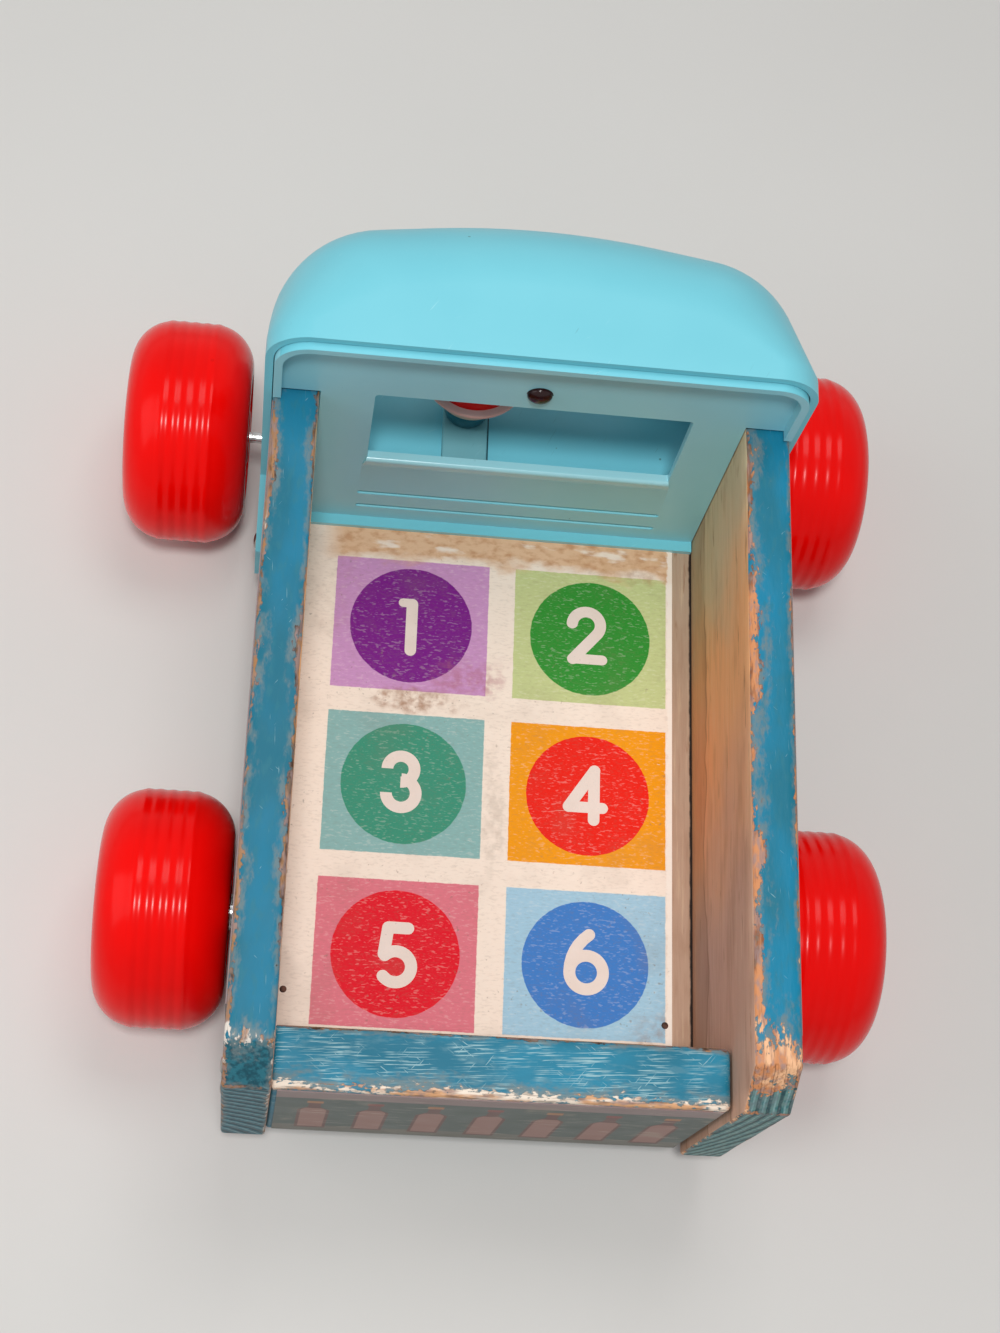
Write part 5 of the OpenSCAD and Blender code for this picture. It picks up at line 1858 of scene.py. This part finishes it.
@dataclass
class WheelSet:
    """Two fat wheels on their axle, with the caps on its ends."""

    word: str
    body: Body
    hub_r: float = 8 * MM
    dish_r: float = 18 * MM
    dish_t: float = 2.5 * MM
    shoulder_r: float = 12 * MM
    bore_r: float = 1.6 * MM
    ripple_h: float = 0.2 * MM
    ripple_pitch: float = 3.4 * MM
    ripple_count: int = 5

    def build(self) -> None:
        """Builds and dresses the wheel set."""
        paint = GlossPaint("wheel_paint", roughness=0.19, spread=0.03)
        for side in Side:
            node = f"{self.word}_{side.word}_wheel"
            extent = Extent.of(node)
            inner = extent.low.x if side is Side.RIGHT else extent.high.x
            profile = self.profile(extent.size.z / 2, extent.size.x)
            shape = turned_out(profile, inner, extent, side.value, 128, ring=True)
            piece(f"{node}_turned", shape, [paint], "wheel_paint", node, body=self.body, smooth=50)
        steel = Metal("axle_steel", roughness=0.22)
        dress(f"{self.word}_axle", steel)
        caps = []
        for extent in islands(f"{self.word}_axle_caps"):
            sign = 1 if extent.middle.x > 0 else -1
            seat = extent.low.x if sign > 0 else extent.high.x
            r, h = extent.size.z / 2, extent.size.x
            bevel = [(0, 0), (r, 0), (r, 0.5 * MM), (r - 0.3 * MM, 0.8 * MM), (r - 0.8 * MM, 0.9 * MM)]
            dome = round_end(r - 1.1 * MM, h - 0.9 * MM, 0.9 * MM, 8)
            caps.append(turned_out(bevel + dome, seat, extent, sign, 48))
        piece(f"{self.word}_cap_domes", together(*caps), [steel], "axle_steel", f"{self.word}_axle_caps",
              body=self.body)

    def profile(self, radius: float, width: float) -> list[Pair]:
        """Half section of a wheel, from the bore round its ridged tread and back."""
        flat = radius - self.ripple_h - self.shoulder_r

        def surface(along: float) -> float:
            """Radius of the shoulders and the tread at a distance from the inner face."""
            into = min(along, width - along)
            rest = max(0.0, self.shoulder_r - into)
            return flat + math.sqrt(max(0.0, self.shoulder_r ** 2 - rest ** 2))

        def ripple(along: float) -> float:
            """Height of the ridges there."""
            off = (along - width / 2) / self.ripple_pitch
            if abs(off) > self.ripple_count / 2:
                return 0.0
            return self.ripple_h * (0.5 + 0.5 * math.cos(2 * math.pi * off))

        face = [(self.bore_r, 0.0), (self.hub_r - 0.8 * MM, 0.0), (self.hub_r, 0.5 * MM),
                (self.hub_r + 0.5 * MM, self.dish_t - 0.6 * MM), (self.hub_r + 1.2 * MM, self.dish_t),
                (self.dish_r - 1.2 * MM, self.dish_t), (self.dish_r - 0.4 * MM, self.dish_t - 0.6 * MM),
                (self.dish_r, 0.5 * MM), (self.dish_r + 0.6 * MM, 0.0)]
        shoulder = [self.shoulder_r * (1 - math.cos(math.radians(6 * i))) for i in range(1, 10)]
        tread_from = shoulder[-1]
        middle = [tread_from + i * (width - 2 * tread_from) / 60 for i in range(1, 60)]
        alongs = shoulder + middle + [width - along for along in reversed(shoulder)]
        outer = [(surface(along) + ripple(along), along) for along in alongs]
        return face + outer + [(r, width - along) for r, along in reversed(face)]


@dataclass
class Studio:
    """Plain pale floor, soft lamps and the camera at the photograph's viewing angle."""

    lay: Layout
    place: Vector = field(default_factory=lambda: Vector((-62.7, -201.35, 589.1)) * MM)
    look: Vector = field(default_factory=lambda: Vector((0.1069, 0.3586, -0.9273)))
    right: Vector = field(default_factory=lambda: Vector((0.9916, 0.0295, 0.1258)))
    lens: float = 56.04
    sensor: float = 36.0
    floor_size: float = 6.0

    def build(self) -> None:
        """Sets the floor, the lamps, the surroundings and the camera."""
        shape = bmesh.new()
        bmesh.ops.create_grid(shape, x_segments=4, y_segments=4, size=self.floor_size / 2)
        mesh = bpy.data.meshes.new("floor")
        shape.to_mesh(mesh)
        shape.free()
        floor = bpy.data.objects.new("floor", mesh)
        bpy.context.scene.collection.objects.link(floor)
        mesh.materials.append(PaleFloor("pale_floor").material())
        self.lamp("key_lamp", Vector((-0.08, -0.27, 1.14)), 0.15, 6.3)
        self.lamp("front_lamp", Vector((0.08, 0.34, 1.1)), 0.4, 2.4)
        self.lamp("left_lamp", Vector((-0.9, -0.1, 0.7)), 0.7, 2.5)
        self.surroundings()
        self.camera()
        bpy.context.scene.view_settings.view_transform = "Standard"

    def lamp(self, name: str, place: Vector, size: float, power: float) -> None:
        """Adds a square soft lamp that points at the wagon."""
        data = bpy.data.lights.new(name, "AREA")
        data.size = size
        data.energy = power
        made = bpy.data.objects.new(name, data)
        made.location = place
        made.rotation_mode = "QUATERNION"
        made.rotation_quaternion = (Vector((0, 0, 0.05)) - place).to_track_quat("-Z", "Y")
        bpy.context.scene.collection.objects.link(made)

    def surroundings(self) -> None:
        """Lights the object evenly from around, and shows a pale background."""
        world = bpy.data.worlds.new("pale_room")
        world.use_nodes = True
        bpy.context.scene.world = world
        nodes, links = world.node_tree.nodes, world.node_tree.links
        light, backdrop = nodes["Background"], nodes.new("ShaderNodeBackground")
        light.inputs["Color"].default_value = linear("F2F4F6")
        light.inputs["Strength"].default_value = 0.3
        backdrop.inputs["Color"].default_value = linear("E4E3E1")
        rays, blend = nodes.new("ShaderNodeLightPath").outputs, nodes.new("ShaderNodeMixShader")

        def either(*sockets: bpy.types.NodeSocket) -> bpy.types.NodeSocket:
            """1 where one of two numbers is 1."""
            node = nodes.new("ShaderNodeMath")
            node.operation = "MAXIMUM"
            for socket, target in zip(sockets, node.inputs):
                links.new(socket, target)
            return node.outputs[0]

        mirrored = either(rays["Is Glossy Ray"], rays["Is Transmission Ray"])
        shares = (either(rays["Is Camera Ray"], mirrored), light.outputs[0], backdrop.outputs[0])
        for socket, target in zip(shares, blend.inputs):
            links.new(socket, target)
        links.new(blend.outputs[0], nodes["World Output"].inputs["Surface"])

    def camera(self) -> None:
        """Sets the camera."""
        data = bpy.data.cameras.new("camera")
        data.lens = self.lens
        data.sensor_fit = "VERTICAL"
        data.sensor_height = self.sensor
        data.sensor_width = self.sensor
        data.clip_start = 0.01
        made = bpy.data.objects.new("camera", data)
        back = -self.look.normalized()
        right = (self.right - back * self.right.dot(back)).normalized()
        turned = Matrix((right, back.cross(right), back)).transposed().to_4x4()
        made.matrix_world = Matrix.Translation(self.place + Vector((self.lay.mid_x, 0, 0))) @ turned
        bpy.context.scene.collection.objects.link(made)
        bpy.context.scene.camera = made


def main() -> None:
    """Builds the wagon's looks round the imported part."""
    logging.basicConfig(level=logging.INFO, format="%(name)s: %(message)s")
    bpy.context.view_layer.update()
    lay = Layout.read()
    WoodenBox(lay).build()
    PrintedSheets(lay).build()
    Cab(lay).build()
    Driver().build()
    WheelSet("front", Body.FRONT_WHEELS).build()
    WheelSet("rear", Body.REAR_WHEELS).build()
    dress("friction_wheel", PlainMatter("wheel_rubber", roughness=0.75))
    dress("rear_spacer_rings", Metal("axle_steel", roughness=0.22))
    dress("cord_eyelet", Metal("eyelet_brass", roughness=0.28, base="D9B25A", tarnish="8F6E33"))
    Studio(lay).build()


if __name__ == "__main__":
    main()
